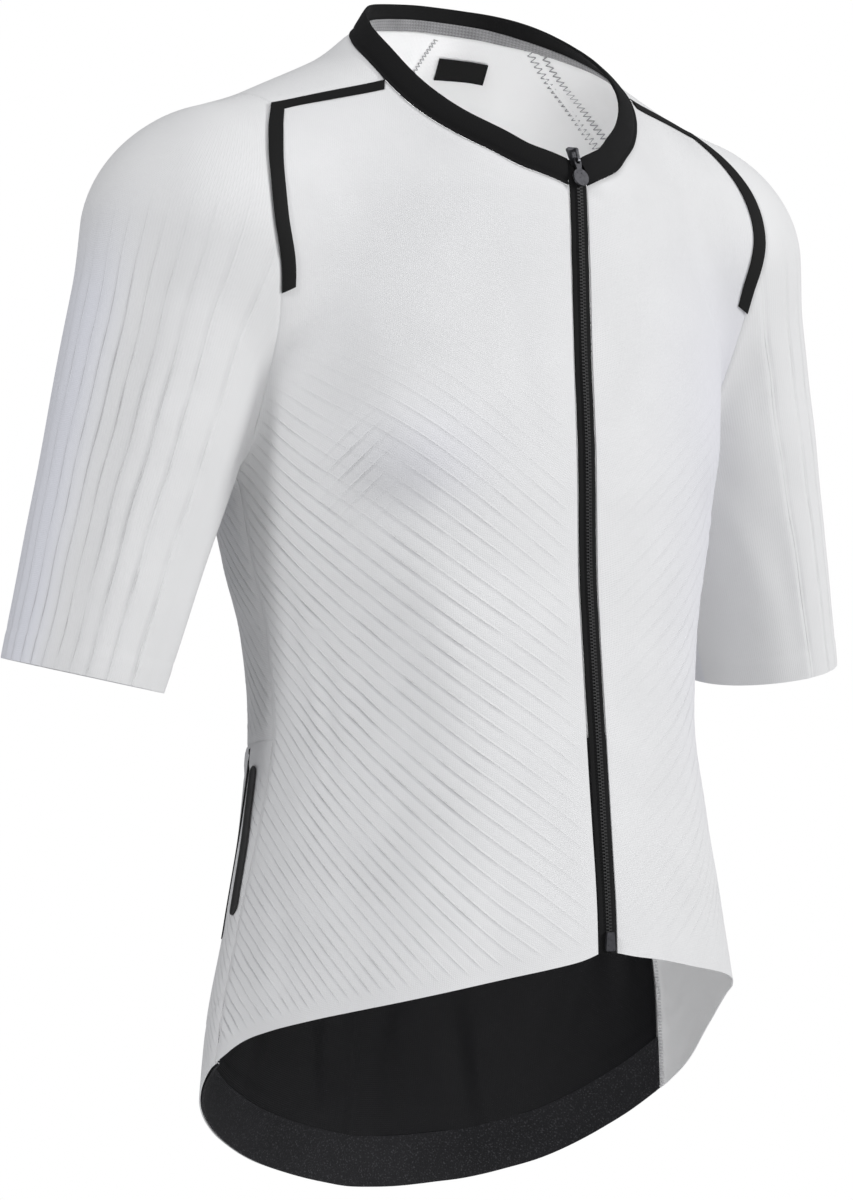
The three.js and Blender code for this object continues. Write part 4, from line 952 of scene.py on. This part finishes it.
def sleeve_shell(side):
    """tube and tongue as one closed wall"""
    g, tg = sleeve_fine, tongue_fine
    nv, nu = g.shape[:2]
    tn, tw = tg.shape[:2]
    first = FIRST * SPER
    pts = np.concatenate([g.reshape(-1, 3), tg[1:].reshape(-1, 3)])
    # along the arm from the raglan loop, and round from the outermost line
    dv = np.concatenate([np.zeros((1, nu)), np.cumsum(np.linalg.norm(np.diff(g, axis=0), axis=2), 0)])
    toCuff = dv[-1:] - dv
    axis_t = (g - arm_a) @ arm_way
    centre = arm_a + axis_t[..., None] * arm_way
    rel = g - centre
    ang = np.arctan2(-rel[..., 1], rel @ out_way)            # 0 outermost, rising to the front
    arc = ang * 50.0                                         # about a millimetre each at the upper arm
    H = np.zeros((nv, nu))
    # pleats: raised welts that run down the outer and front of the arm
    run = np.clip(dv / np.maximum(dv[-1:], 1), 0, 1)
    Zs = g[..., 2]
    ats = np.array([-14, -4, 7, 16, 24.5, 33, 42, 52, 64, 80], float)
    wob = 0.45 * np.sin(Zs / 21.0 + arc / 30.0) + 0.30 * np.sin(Zs / 9.0 + arc / 11.0)
    draw = arc + wob - 4.0 * (1 - run)
    phase = np.interp(draw, ats, np.arange(len(ats)), left=np.nan, right=np.nan)
    inside_lines = ~np.isnan(phase)
    phase = np.where(inside_lines, phase, np.where(draw > 0, len(ats) - 1 + np.minimum((draw - ats[-1]) / 14.0, 0.95),
                                                  -np.minimum((ats[0] - draw) / 12.0, 0.95)))
    strength = step(-Zs, 60, 170) * step(draw, ats[0] - 8, ats[0] + 2) * (1 - step(draw, ats[-1] + 2, ats[-1] + 14))
    strength = strength * (0.85 + 0.15 * np.sin(Zs / 33.0 + arc / 17.0)) * (0.5 + 0.5 * step(draw, 2, 22))
    sf = np.mod(phase, 1.0)
    H += 0.85 * strength * np.minimum(sf / 0.16, (1 - sf) / 0.84)
    H *= step(toCuff, 0, 2) * 0.3 + 0.7
    # turned cuff edge
    H += 0.22 * step(16 - toCuff, 0, 1.6) - 0.20 * bump(toCuff, 17.5, 1.1)
    # soft drags from the underarm across the inner arm, and a fold behind the shoulder
    for at, cz, wide, lng, dip, lean in ((-120, -215, 9, 40, 1.0, 0.35), (118, -228, 8, 34, 0.9, -0.3), (96, -270, 10, 52, 0.8, -0.2),
                                         (-95, -262, 9, 48, 0.8, 0.25), (140, -285, 10, 44, 0.7, 0.1), (-140, -300, 9, 40, 0.7, -0.1)):
        H -= dip * bump(arc + lean * (Zs - cz), at, wide) * bump(Zs, cz, lng)
        H += dip * 0.8 * bump(arc + lean * (Zs - cz), at + wide * 1.6, wide) * bump(Zs, cz, lng * 0.8)
    H += 0.45 * noise(g, 85, 51)
    seam_cols = np.ones(nu, bool)
    seam_cols[first + 1:(LAST * SPER)] = False
    H -= 0.8 * np.exp(-(dv / 2.6) ** 2) * seam_cols[None]
    tz = tg[1:]
    tH = 0.45 * noise(tz, 85, 51)
    td = edge_distance(tg)
    for dist in (td[0][1:], td[1][1:], td[3][1:]):
        tH -= 0.8 * np.exp(-(dist / 2.6) ** 2)
    allH = np.concatenate([H.reshape(-1), tH.reshape(-1)]) - 0.12
    N = outward(pts)
    outer = pts + N * allH[:, None]
    inner = outer - N * CLOTH
    n = len(pts)
    quads = []
    J, I = np.meshgrid(np.arange(nv - 1), np.arange(nu), indexing="ij")
    K = (I + 1) % nu
    quads.append(np.stack([J * nu + I, J * nu + K, (J + 1) * nu + K, (J + 1) * nu + I], -1).reshape(-1, 4))
    tid = np.zeros((tn, tw), int)
    tid[0] = first + np.arange(tw)
    tid[1:] = nv * nu + np.arange((tn - 1) * tw).reshape(tn - 1, tw)
    quads.append(np.stack([tid[:-1, 1:], tid[:-1, :-1], tid[1:, :-1], tid[1:, 1:]], -1).reshape(-1, 4))
    quads = np.concatenate(quads)
    q = quads[5]
    if np.cross(outer[q[1]] - outer[q[0]], outer[q[2]] - outer[q[0]]) @ N[q[0]] < 0:
        quads = quads[:, ::-1]
    # open edges
    e = np.concatenate([quads[:, [0, 1]], quads[:, [1, 2]], quads[:, [2, 3]], quads[:, [3, 0]]])
    key = e[:, 0].astype(np.int64) * n + e[:, 1]
    back = e[:, 1].astype(np.int64) * n + e[:, 0]
    openE = e[~np.isin(key, back)]
    rim = np.stack([openE[:, 1], openE[:, 0], openE[:, 0] + n, openE[:, 1] + n], 1)
    faces = np.concatenate([quads, quads[:, ::-1] + n, rim])
    P = np.concatenate([outer, inner])
    # surface coordinates: round the arm and down it
    uvs = np.zeros((n, 2))
    uvs[:nv * nu, 0], uvs[:nv * nu, 1] = arc.reshape(-1) / 1000, -dv.reshape(-1) / 1000
    rel = tz - (arm_a + ((tz - arm_a) @ arm_way)[..., None] * arm_way)
    uvs[nv * nu:, 0] = tz[..., 1].reshape(-1) / -1000
    uvs[nv * nu:, 1] = (np.linalg.norm(tz - shoulder_arc[2], axis=-1)).reshape(-1) / 1000
    if side < 0:
        P = P * FLIP
        faces = faces[:, ::-1]
    name = "sleeve_right_cloth" if side < 0 else "sleeve_left_cloth"
    me = bpy.data.meshes.new(name)
    me.from_pydata((P / 1000).tolist(), [], faces.tolist())
    me.update()
    loops = np.zeros(len(me.loops), np.int32)
    me.loops.foreach_get("vertex_index", loops)
    uv = np.concatenate([uvs, uvs])[loops].reshape(-1, 4, 2)
    span = uv[..., 0].max(1) - uv[..., 0].min(1)
    wrap = span > 0.2                                        # cells across the line opposite the outermost
    uv[wrap, :, 0] = np.where(uv[wrap, :, 0] < 0, uv[wrap, :, 0] + 2 * math.pi * 0.05, uv[wrap, :, 0])
    me.uv_layers.new(name="UVMap").data.foreach_set("uv", uv.astype(np.float32).reshape(-1))
    blue = np.zeros(n)
    blue[:nv * nu] = (0.75 * (1 - step(arc, 2, 34)) * step(-Zs, 60, 150)).reshape(-1) * (1.0 if side < 0 else 0.55)
    at = me.attributes.new("tint", "FLOAT", "POINT")
    at.data.foreach_set("value", np.concatenate([blue, blue]).astype(np.float32))
    for key, value in (("phase", phase), ("strength", strength)):
        full = np.zeros(n)
        full[:nv * nu] = value.reshape(-1)
        at = me.attributes.new(key, "FLOAT", "POINT")
        at.data.foreach_set("value", np.concatenate([full, full]).astype(np.float32))
    me.materials.append(PLEATED)
    me.materials.append(WHITE_BACK)
    index = np.zeros(len(faces), np.int32)
    index[len(quads):2 * len(quads)] = 1
    me.polygons.foreach_set("material_index", index)
    me.polygons.foreach_set("use_smooth", [True] * len(faces))
    lo = np.minimum(openE[:, 0], openE[:, 1]).astype(np.int64)
    hi = np.maximum(openE[:, 0], openE[:, 1]).astype(np.int64)
    want = np.concatenate([lo * 2 * n + hi, (lo + n) * 2 * n + hi + n])
    ev = np.zeros(len(me.edges) * 2, np.int32)
    me.edges.foreach_get("vertices", ev)
    ev = ev.reshape(-1, 2)
    keys = ev.min(1).astype(np.int64) * 2 * n + ev.max(1)
    sa = me.attributes.new("sharp_edge", "BOOLEAN", "EDGE")
    sa.data.foreach_set("value", np.isin(keys, want))
    ob = bpy.data.objects.new(name, me)
    bpy.context.scene.collection.objects.link(ob)
    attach(ob, "jersey")
    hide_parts("sleeve_right" if side < 0 else "sleeve_left")
    return ob


for side in (-1, 1):
    sleeve_shell(side)

# ------------------------------------------------------------------ collar
neck_line = np.concatenate([neck_front, neck_sleeve[1:], neck_back[1:]])
collar_line = np.concatenate([neck_line, (neck_line[:-1] * FLIP)[::-1]])
breaks = [C_NECK_F, C_NECK_F + C_NECK_S]
cn = len(collar_line) - 1
W = weights(cn, 10, ())
collar_fine_line = settle(W @ collar_line, 8)


def collar_wide(n):
    k = np.minimum(np.arange(n), n - 1 - np.arange(n)) * (32.0 / (n - 1))
    return COLLAR_WIDE - 4.5 * step(k, 6, 14)


def collar_row(line, w):
    t = unit(np.gradient(line, axis=0))
    n = outward(line)
    up = unit(np.cross(n, t))
    flipit = (up[:, 2] < 0) & (np.einsum("ij,ij->i", up, np.array([0, -20, 60]) - line) < 0)
    up[flipit] *= -1
    for i in (0, -1):
        up[i] = unit(np.array([0, up[i, 1], up[i, 2]]))
    return settle(line + up * (w if np.isscalar(w) else w[:, None]), 8)


CROWS = 16
collar_rows = [collar_row(collar_fine_line, collar_wide(len(collar_fine_line)) * j / (CROWS - 1) + 0.2) for j in range(CROWS)]
collar_g = np.stack(collar_rows)
# a line of even band width can crowd at the corners: smooth along the rows
for _ in range(3):
    m = collar_g.copy()
    m[:, 1:-1] = collar_g[:, 1:-1] * 0.5 + (collar_g[:, :-2] + collar_g[:, 2:]) * 0.25
    collar_g = settle(m, 6)
for j in range(CROWS):
    collar_g[j, 0] = face_at(ZIP_HALF - 0.3, collar_g[j, 0, 2])[0]
    collar_g[j, -1] = face_at(-(ZIP_HALF - 0.3), collar_g[j, -1, 2])[0]
w = np.linspace(0, COLLAR_WIDE, CROWS)[:, None] * np.ones((1, collar_g.shape[1]))
H = 0.45 + 0.9 * np.sin(np.clip((w - 2.5) / (COLLAR_WIDE - 2.5), 0, 1) * math.pi) ** 0.6      # folded band, round at the top
H -= 0.5 * bump(w, 2.6, 0.8)
H += 0.12 * noise(collar_g, 30, 61)
thick = 2.4 * np.clip(1 - ((w - COLLAR_WIDE * 0.55) / (COLLAR_WIDE * 0.62)) ** 4, 0.25, 1)
ob = shell("collar_band", collar_g, H, thick=thick, material=BLACK)
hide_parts("collar")

# ------------------------------------------------------------------ zip
zip_top = collar_g[-1, 0, 2]
zip_z = np.linspace(-513.0, zip_top - 0.3, 380)
for side in (-1, 1):
    cols = np.array([0.25, 1.0, 1.9, 2.6, 3.6, 4.8, 6.0])
    g = np.stack([face_at(side * c, zip_z) for c in cols], 1)
    puck = 0.10 * np.sin(zip_z / 5.2 + 1.7 * np.sin(zip_z / 17.0))
    H = np.array([0.2, 0.75, 0.7, -0.1, 0.05, 0.1, -0.2])[None] + puck[:, None]
    name = "zip_tape_right_cloth" if side < 0 else "zip_tape_left_cloth"
    ob = shell(name, g, H, thick=0.9, material=ZIPCLOTH)
    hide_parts("zip_tape_right" if side < 0 else "zip_tape_left")


def box_block(c, ax, half):
    """a small block: centre, three unit ways as rows, half sizes"""
    pts = []
    for sx in (-1, 1):
        for sy in (-1, 1):
            for sz in (-1, 1):
                pts.append(c + ax[0] * sx * half[0] + ax[1] * sy * half[1] + ax[2] * sz * half[2])
    faces = [(0, 1, 3, 2), (4, 6, 7, 5), (0, 4, 5, 1), (2, 3, 7, 6), (0, 2, 6, 4), (1, 5, 7, 3)]
    return np.array(pts), faces


# coil: pairs of small humps that meet at the middle
blocks = []
pitch = 1.9
zc = np.arange(-508, zip_top - 16, pitch)
base = face_at(0.0, zc)
up = unit(np.gradient(base, axis=0))
out = outward(base)
for i in range(len(zc)):
    for side, off in ((-1, 0.0), (1, pitch / 2)):
        c = base[i] + up[i] * off + np.array([side * 0.95, 0, 0]) + out[i] * 0.75
        blocks.append(box_block(c, np.stack([np.array([1.0, 0, 0]), up[i], out[i]]), (1.15, 0.42, 0.42)))
ob = many("zip_coil", blocks, COIL)

# ------------------------------------------------------------------ shoulder tapes
def step_in(a, b, by):
    return a + (b - a) * (by / np.linalg.norm(b - a))


for side in (-1, 1):
    g, nv, nu = fronts[side], FV, FU
    strip = []
    across = lambda j: [step_in(g[j, nu], g[j, nu - 1], 10.0), step_in(g[j, nu], g[j, nu - 1], 0.5)]
    strip.append([(p + q) / 2 for p, q in zip(across(nv - 4), across(nv - 5))])
    for j in range(nv - 4, nv):
        strip.append(across(j))
    corner = lambda by: step_in(g[nv, nu], g[nv, nu - 1], by) + (step_in(g[nv, nu], g[nv - 1, nu], by) - g[nv, nu])
    strip.append([corner(9.2), corner(0.5)])
    for i in range(nu - 1, C_NECK_F, -1):
        strip.append([step_in(g[nv, i], g[nv - 1, i], 8.0), step_in(g[nv, i], g[nv - 1, i], 0.5)])
    e = [step_in(g[nv, C_NECK_F], g[nv - 1, C_NECK_F], 8.0), step_in(g[nv, C_NECK_F], g[nv - 1, C_NECK_F], 0.5)]
    strip.append([step_in(p, q, 0.2) for p, q in zip(e, strip[-1])])
    strip = np.array(strip)
    sg = fine(strip.transpose(1, 0, 2), 12, 6, (5,), ())
    H = np.full(sg.shape[:2], 0.95)
    rows_w = np.linspace(0, 1, sg.shape[0])[:, None]
    H -= 0.3 * (np.abs(rows_w - 0.5) * 2) ** 6
    name = "shoulder_tape_right_cloth" if side < 0 else "shoulder_tape_left_cloth"
    ob = shell(name, sg, H, thick=0.6, material=TAPE)
    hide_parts("shoulder_tape_right" if side < 0 else "shoulder_tape_left")

# ------------------------------------------------------------------ inside the neck
half = []
top = tongue.shape[0] - 1
above = collar_row(collar_line, 8.0)
for k in range(C_NECK_S + 1):
    half.append([tongue[top, k], tongue[top - 1, k], above[C_NECK_F + k]])
half[C_NECK_S] = [neck_back[0], saddle_back[1], above[C_NECK_F + C_NECK_S]]
nvu = upper_grid.shape[0] - 1
for k in range(1, C_NECK_B + 1):
    i = BU - C_SAD_B - k
    half.append([upper_grid[nvu, i], upper_grid[nvu - 1, i], above[C_NECK_F + C_NECK_S + k]])
half[0] = [step_in(p, q, 1.5) for p, q in zip(half[0], half[1])]
strip = np.array([[step_in(p, up, 3.8), p, step_in(p, q, 3.2)] for p, q, up in half])
strip = np.concatenate([strip, (strip[:-1] * FLIP)[::-1]])
ng = fine(strip.transpose(1, 0, 2), 10, 6)
rows_w = np.linspace(0, 7, ng.shape[0])[:, None] * np.ones((1, ng.shape[1]))
H = -1.7 + 0.18 * np.sin(rows_w / 7 * math.pi * 4)
ob = shell("neck_tape_cloth", ng, H, thick=0.6, material=GREYTAPE)
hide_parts("neck_tape")


def patch(g, u0, u1, v0, v1, nu, nv):
    def at(u, v):
        i, j = min(int(u), g.shape[1] - 2), min(int(v), g.shape[0] - 2)
        a, b = u - i, v - j
        return ((g[j, i] * (1 - a) + g[j, i + 1] * a) * (1 - b) + (g[j + 1, i] * (1 - a) + g[j + 1, i + 1] * a) * b)
    pts = np.array([[at(u0 + (u1 - u0) * i / nu, v0 + (v1 - v0) * j / nv) for i in range(nu + 1)] for j in range(nv + 1)])
    return settle(pts, 8)


def round_ends(g, share=0.5):
    """pull the two ends of a strip in to half circles; the long way is v"""
    nv, nu = g.shape[:2]
    out = g.copy()
    wide = np.linalg.norm(g[nv // 2, -1] - g[nv // 2, 0])
    seg = np.linalg.norm(np.diff(g[:, nu // 2], axis=0), axis=1)
    t = np.concatenate([[0], np.cumsum(seg)])
    r = wide * share
    for j in range(nv):
        d = min(t[j], t[-1] - t[j])
        if d < r:
            k = math.sqrt(max(1 - (1 - d / r) ** 2, 0.0))
            c = (g[j, 0] + g[j, -1]) / 2
            out[j] = c + (g[j] - c) * max(1 - share * 2 + share * 2 * k, 0.12)
    return out


lg = patch(upper_grid, 10.3, 12.6, 14.02, 14.46, 30, 16)
ob = shell("neck_label_cloth", lg, np.full(lg.shape[:2], -1.9), thick=0.5, material=TAPE)
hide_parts("neck_label")

# ------------------------------------------------------------------ side tab and pocket line
def strap(g, u0, u1, half, v0, v1, nu, nv):
    def at(u, v):
        i, j = min(int(u), g.shape[1] - 2), min(int(v), g.shape[0] - 2)
        a, b = u - i, v - j
        return ((g[j, i] * (1 - a) + g[j, i + 1] * a) * (1 - b) + (g[j + 1, i] * (1 - a) + g[j + 1, i + 1] * a) * b)
    pts = []
    for j in range(nv + 1):
        v = v0 + (v1 - v0) * j / nv
        u = u0 + (u1 - u0) * j / nv
        pts.append([at(u - half + 2 * half * i / nu, v) for i in range(nu + 1)])
    return settle(np.array(pts), 8)


tg = round_ends(strap(pocket_grid, 0.25, 0.72, 0.18, 4.55, 8.42, 10, 80))
rows_u = np.linspace(-1, 1, tg.shape[1])[None] * np.ones((tg.shape[0], 1))
rows_v = np.linspace(-1, 1, tg.shape[0])[:, None] * np.ones((1, tg.shape[1]))
H = 0.75 + 0.40 * (np.maximum(np.abs(rows_u), np.abs(rows_v) ** 14) > 0.58)
ob = shell("side_tab_rubber", tg, H, thick=0.7, material=RUBBER)
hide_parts("side_tab")
pg = strap(pocket_grid, 1.02, 1.18, 0.075, 4.35, 8.90, 4, 80)
ob = shell("pocket_line_cloth", pg, np.full(pg.shape[:2], 0.60), thick=0.5, material=TAPE)
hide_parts("pocket_line")


# ------------------------------------------------------------------ stitching
def resample(line, gap):
    seg = np.linalg.norm(np.diff(line, axis=0), axis=1)
    t = np.concatenate([[0], np.cumsum(seg)])
    n = max(int(t[-1] / gap), 2)
    want = np.linspace(0, t[-1], n + 1)
    return np.stack([np.interp(want, t, line[:, k]) for k in range(3)], 1)


def zigzag(name, line, wide, gap, lift, material, radius=0.22, inside=False):
    """a zigzag thread along a line on the form"""
    p = resample(np.asarray(line), gap)
    n = outward(p)
    t = unit(np.gradient(p, axis=0))
    side = unit(np.cross(t, n))
    sign = np.where(np.arange(len(p)) % 2 == 0, 1.0, -1.0)
    q = p + side * (sign * wide / 2)[:, None] + n * lift
    # a few points between, so that the thread stays round
    path = resample(q, gap * 0.4)
    return tube(name, path, radius, material, sides=5)


def stitches(name, line, long, gap, lift, material, radius=0.2, side_by=0.0):
    """separate straight stitches along a line on the form"""
    p = resample(np.asarray(line), long + gap)
    n = outward(p)
    t = unit(np.gradient(p, axis=0))
    sd = unit(np.cross(t, n))
    blocks = []
    for i in range(len(p) - 1):
        c = p[i] + n[i] * lift + sd[i] * side_by
        blocks.append(box_block(c, np.stack([t[i], sd[i], n[i]]), (long / 2, radius, radius)))
    ob = many(name, blocks, material)
    return ob


def inside_thread(name, line, wide, gap, lift, material, radius=0.22):
    ob = zigzag(name, line, wide, gap, lift, material, radius)
    return ob


# seams inside the back, from the neck down
centre_seam = settle(np.array([[15, 48, 33], [9, 53, 24], [4, 57, 14], [1, 60, 4], [0, 66, -10], [0, 76, -30]], float))
inside_thread("inside_seam_centre", settle(weights(5, 8, ()) @ centre_seam, 6), 3.0, 1.2, -1.35, THREAD_GREY)
for nm, side in (("right", -1), ("left", 1)):
    line = for_side(side, np.concatenate([saddle_back, arm_back[1:]]))
    line = settle(weights(len(line) - 1, 10, ()) @ line, 6)
    inside_thread(f"raglan_seam_back_{nm}", line, 5.0, 2.4, -1.45, THREAD_GREY, radius=0.3)
    beside = settle(line + unit(np.cross(unit(np.gradient(line, axis=0)), outward(line))) * 8.0, 6)
    inside_thread(f"raglan_seam_back_{nm}_b", beside[2:], 4.6, 2.4, -1.3, THREAD_GREY, radius=0.3)
    line = for_side(side, np.concatenate([saddle_front, arm_front[1:]]))
    line = settle(weights(len(line) - 1, 10, (C_SAD_F,)) @ line, 6)
    inside_thread(f"raglan_seam_front_{nm}", line, 3.2, 1.3, -1.7, THREAD_WHITE)
    # overlocked side seam, inside, from the hem up
    line = side_point(side, np.linspace(0.002, 0.995, 160))
    inside_thread(f"side_seam_{nm}", line, 5.6, 1.0, -1.5, THREAD_WHITE, radius=0.32)

# ------------------------------------------------------------------ zip hardware keeps its CAD shape
for name in ("zip_slider", "zip_pull", "zip_box"):
    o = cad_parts[name]
    o.data.materials.clear()
    o.data.materials.append(METAL)

# ------------------------------------------------------------------ stage, light and camera
scene = bpy.context.scene
floor_me = bpy.data.meshes.new("floor")
r, fz = 1.6, -1.05
ring_n = 64
pts = [(r * math.cos(2 * math.pi * i / ring_n), r * math.sin(2 * math.pi * i / ring_n), fz) for i in range(ring_n)]
floor_me.from_pydata(pts, [], [list(range(ring_n))])
floor = bpy.data.objects.new("floor", floor_me)
scene.collection.objects.link(floor)
floor_me.materials.append(plain("floor_pale", (0.80, 0.80, 0.80), 0.9, scale_mm=300, spread=0.02, specular=0.1))

world = bpy.data.worlds.new("studio")
scene.world = world
world.use_nodes = True
wt = world.node_tree
wt.nodes.clear()
wo = wt.nodes.new("ShaderNodeOutputWorld")
light_bg, seen_bg = wt.nodes.new("ShaderNodeBackground"), wt.nodes.new("ShaderNodeBackground")
light_bg.inputs[0].default_value = (0.96, 0.97, 1.0, 1)
light_bg.inputs[1].default_value = 0.36
seen_bg.inputs[0].default_value = (1, 1, 1, 1)
seen_bg.inputs[1].default_value = 1.0
path, mixer = wt.nodes.new("ShaderNodeLightPath"), wt.nodes.new("ShaderNodeMixShader")
wt.links.new(path.outputs["Is Camera Ray"], mixer.inputs[0])
wt.links.new(light_bg.outputs[0], mixer.inputs[1])
wt.links.new(seen_bg.outputs[0], mixer.inputs[2])
wt.links.new(mixer.outputs[0], wo.inputs[0])


def area(name, pos, target, size, power, colour=(1, 1, 1)):
    d = bpy.data.lights.new(name, "AREA")
    d.shape = "RECTANGLE"
    d.size, d.size_y = size
    d.energy = power
    d.color = colour
    o = bpy.data.objects.new(name, d)
    scene.collection.objects.link(o)
    from mathutils import Vector
    o.location = pos
    o.rotation_euler = (Vector(target) - Vector(pos)).to_track_quat("-Z", "Y").to_euler()
    return o


TARGET = (-0.0185, 0.0139, -0.3085)
area("key_right", (2.3, -2.2, 0.8), TARGET, (0.8, 1.0), 56)
area("front_soft", (-0.9, -3.2, 0.1), TARGET, (0.9, 1.4), 17)
area("upper_left", (-2.9, -1.0, 1.2), TARGET, (0.6, 0.7), 34, (0.98, 0.985, 1.0))
area("top_soft", (-0.3, -0.6, 2.2), TARGET, (1.6, 1.2), 9)

area("inside_neck", (0.0, -0.065, -0.13), (0.045, 0.06, 0.01), (0.07, 0.07), 0.17)
area("inside_hem", (-0.03, -0.01, -0.46), (0.13, -0.01, -0.57), (0.06, 0.06), 0.10)

cam_data = bpy.data.cameras.new("camera")
cam = bpy.data.objects.new("camera", cam_data)
scene.collection.objects.link(cam)
cam_data.sensor_fit = "VERTICAL"
cam_data.sensor_height = 36.0
cam_data.lens = 150.0
cam_data.clip_end = 50
az = math.radians(-37)
cam.location = (TARGET[0] + 3.0 * math.sin(az), TARGET[1] - 3.0 * math.cos(az), TARGET[2])
from mathutils import Vector as _V
cam.rotation_euler = (_V(TARGET) - cam.location).to_track_quat("-Z", "Y").to_euler()
scene.camera = cam
scene.view_settings.view_transform = "Standard"
